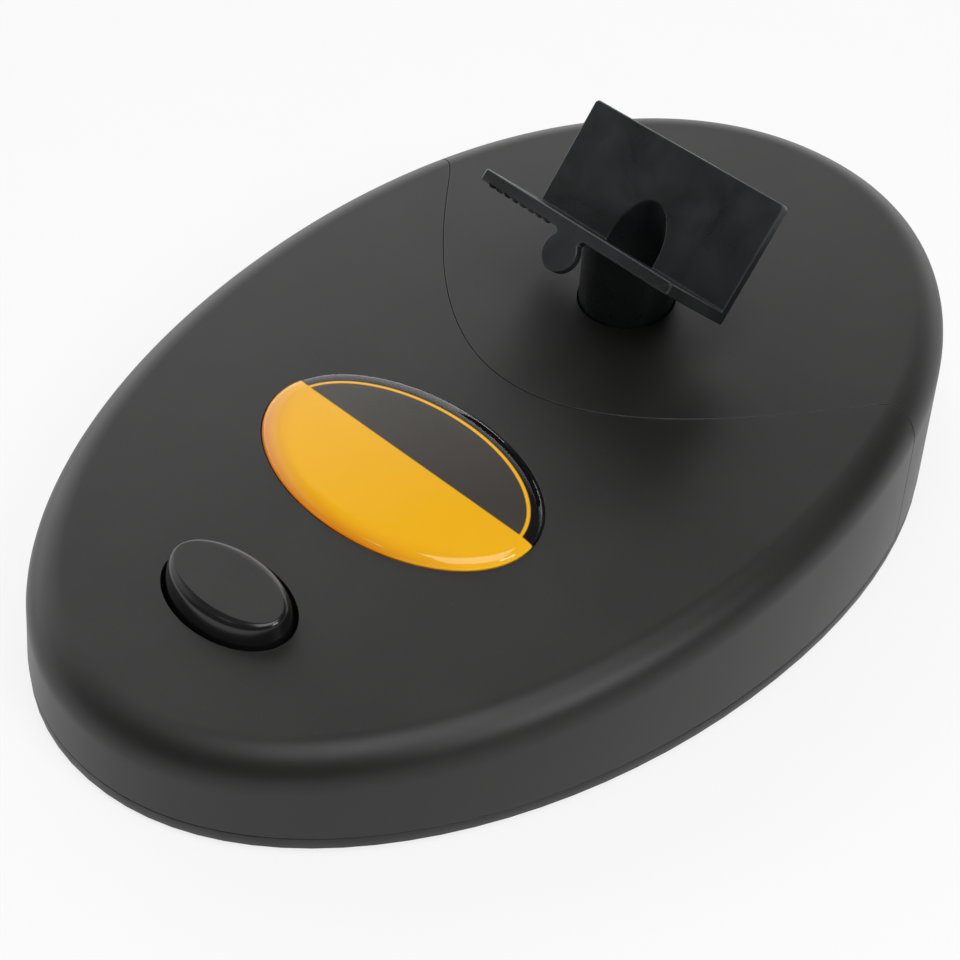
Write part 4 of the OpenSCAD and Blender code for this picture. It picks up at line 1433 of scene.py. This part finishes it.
@dataclass
class Studio:
    """The pale floor and backdrop, the soft lamps and the camera."""

    eye: Point = (0.18419, -0.21553, 0.25597)
    azimuth: float = 41.288
    height: float = 41.498
    roll: float = 2.951
    lens: float = 73.69
    backdrop: float = 1.7
    backdrop_lean: float = 0.4
    backdrop_edge: Pair = (0.42, 0.58)
    backdrop_way: Pair = (-0.8, 0.6)
    backdrop_sides: Pair = (0.1, 0.7)
    horizon: float = 0.7
    horizon_edge: Pair = (0.08, 0.22)
    room: float = 0.1
    floor_half: float = 4.0
    floor_white: float = 0.8
    aim: Point = (0.0, 0.0, 0.02)
    lamps: tuple[Lamp, ...] = (
        Lamp("overhead_softbox", (0.22, -0.20, 1.30), (0.9, 0.9), 8.2),
        Lamp("right_softbox", (0.98, -0.06, 0.84), (0.45, 0.45), 5.0),
        Lamp("front_softbox", (-0.40, -0.69, 1.00), (0.16, 0.05), 0.10),
    )

    def build(self) -> None:
        """Sets up everything round the object."""
        self.set_camera()
        self.lay_floor()
        self.light_world()
        for lamp in self.lamps:
            self.hang_lamp(lamp)
        bpy.context.scene.view_settings.view_transform = "Standard"

    def set_camera(self) -> None:
        """Places the camera where the photograph was taken from."""
        az, el, roll = (math.radians(v) for v in (self.azimuth, self.height, self.roll))
        back = Vector((math.sin(az) * math.cos(el), -math.cos(az) * math.cos(el), math.sin(el)))
        right = Vector((math.cos(az), math.sin(az), 0.0))
        up = back.cross(right)
        turned_right = right * math.cos(roll) + up * math.sin(roll)
        turned_up = up * math.cos(roll) - right * math.sin(roll)
        data = bpy.data.cameras.new("camera")
        data.lens = self.lens
        data.sensor_width = 36.0
        data.clip_start = 0.01
        data.clip_end = 20.0
        camera = bpy.data.objects.new("camera", data)
        turn = Matrix((turned_right, turned_up, back)).transposed().to_4x4()
        camera.matrix_world = Matrix.Translation(self.eye) @ turn
        bpy.context.scene.collection.objects.link(camera)
        bpy.context.scene.camera = camera

    def lay_floor(self) -> None:
        """Lays a pale floor that a camera sees as nearly white, with the object's shadow kept."""
        bm = bmesh.new()
        bmesh.ops.create_grid(bm, x_segments=1, y_segments=1, size=self.floor_half)
        floor = loose_piece("studio_floor", bm)
        material = bpy.data.materials.new("studio_paper")
        material.use_nodes = True
        tree = material.node_tree
        tree.nodes.clear()
        where = tree.nodes.new("ShaderNodeTexCoord").outputs["Object"]
        clouds = noise(tree, where, 40.0, 4.0, 0.5)
        colour = blend_colours(tree, clouds, (0.86, 0.86, 0.86), (0.90, 0.90, 0.90))
        paper = place(tree, "ShaderNodeBsdfDiffuse", {"Color": colour})
        white = place(tree, "ShaderNodeEmission", {"Color": (1.0, 1.0, 1.0, 1.0), "Strength": 1.0})
        path = tree.nodes.new("ShaderNodeLightPath")
        seen = reckon(tree, "ADD", path.outputs["Is Camera Ray"], path.outputs["Is Glossy Ray"], clamp=True)
        seen = reckon(tree, "ADD", seen, path.outputs["Is Transmission Ray"], clamp=True)
        share = reckon(tree, "MULTIPLY", seen, self.floor_white)
        mix = place(tree, "ShaderNodeMixShader", {0: share, 1: paper.outputs[0], 2: white.outputs[0]})
        leave = tree.nodes.new("ShaderNodeOutputMaterial")
        tree.links.new(mix.outputs[0], leave.inputs["Surface"])
        floor.data.materials.append(material)

    def light_world(self) -> None:
        """A pale backdrop behind the object, with its upper edge half way up, in a dim room."""
        world = bpy.data.worlds.new("studio_surround")
        bpy.context.scene.world = world
        world.use_nodes = True
        tree = world.node_tree
        tree.nodes.clear()
        look = tree.nodes.new("ShaderNodeTexCoord").outputs["Generated"]
        split = place(tree, "ShaderNodeSeparateXYZ", {0: look})
        x, y, z = (split.outputs[axis] for axis in "XYZ")
        edge = reckon(tree, "MULTIPLY_ADD", x, self.backdrop_lean, z)
        below = remap(tree, edge, *self.backdrop_edge, 1.0, 0.0)
        way_x, way_y = self.backdrop_way
        behind = reckon(tree, "MULTIPLY_ADD", x, way_x, reckon(tree, "MULTIPLY", y, way_y))
        share = reckon(tree, "MULTIPLY", below, remap(tree, behind, *self.backdrop_sides))
        low = remap(tree, z, *self.horizon_edge, self.horizon, self.room)
        strength = reckon(tree, "MULTIPLY_ADD", share, self.backdrop, low)
        light = place(tree, "ShaderNodeBackground", {"Color": (1.0, 1.0, 1.0, 1.0), "Strength": strength})
        leave = tree.nodes.new("ShaderNodeOutputWorld")
        tree.links.new(light.outputs[0], leave.inputs["Surface"])

    def hang_lamp(self, lamp: Lamp) -> None:
        """Hangs a lamp so that it faces the object."""
        data = bpy.data.lights.new(lamp.name, "AREA")
        data.shape = "RECTANGLE"
        data.size, data.size_y = lamp.size
        data.energy = lamp.power
        hung = bpy.data.objects.new(lamp.name, data)
        hung.location = lamp.place
        hung.rotation_euler = (Vector(self.aim) - Vector(lamp.place)).to_track_quat("-Z", "Y").to_euler()
        bpy.context.scene.collection.objects.link(hung)


def main() -> None:
    """Builds the studio and every sub-assembly in order."""
    logging.basicConfig(level=logging.INFO, format="%(name)s: %(message)s", force=True)
    form = HousingForm()
    for assembly in (Studio(), Covers(form), Underside(), Badge(form), PushButton(form), BottleCradle(),
                     Workings()):
        assembly.build()
        LOG.info("%s is built", type(assembly).__name__)


if __name__ == "__main__":
    main()
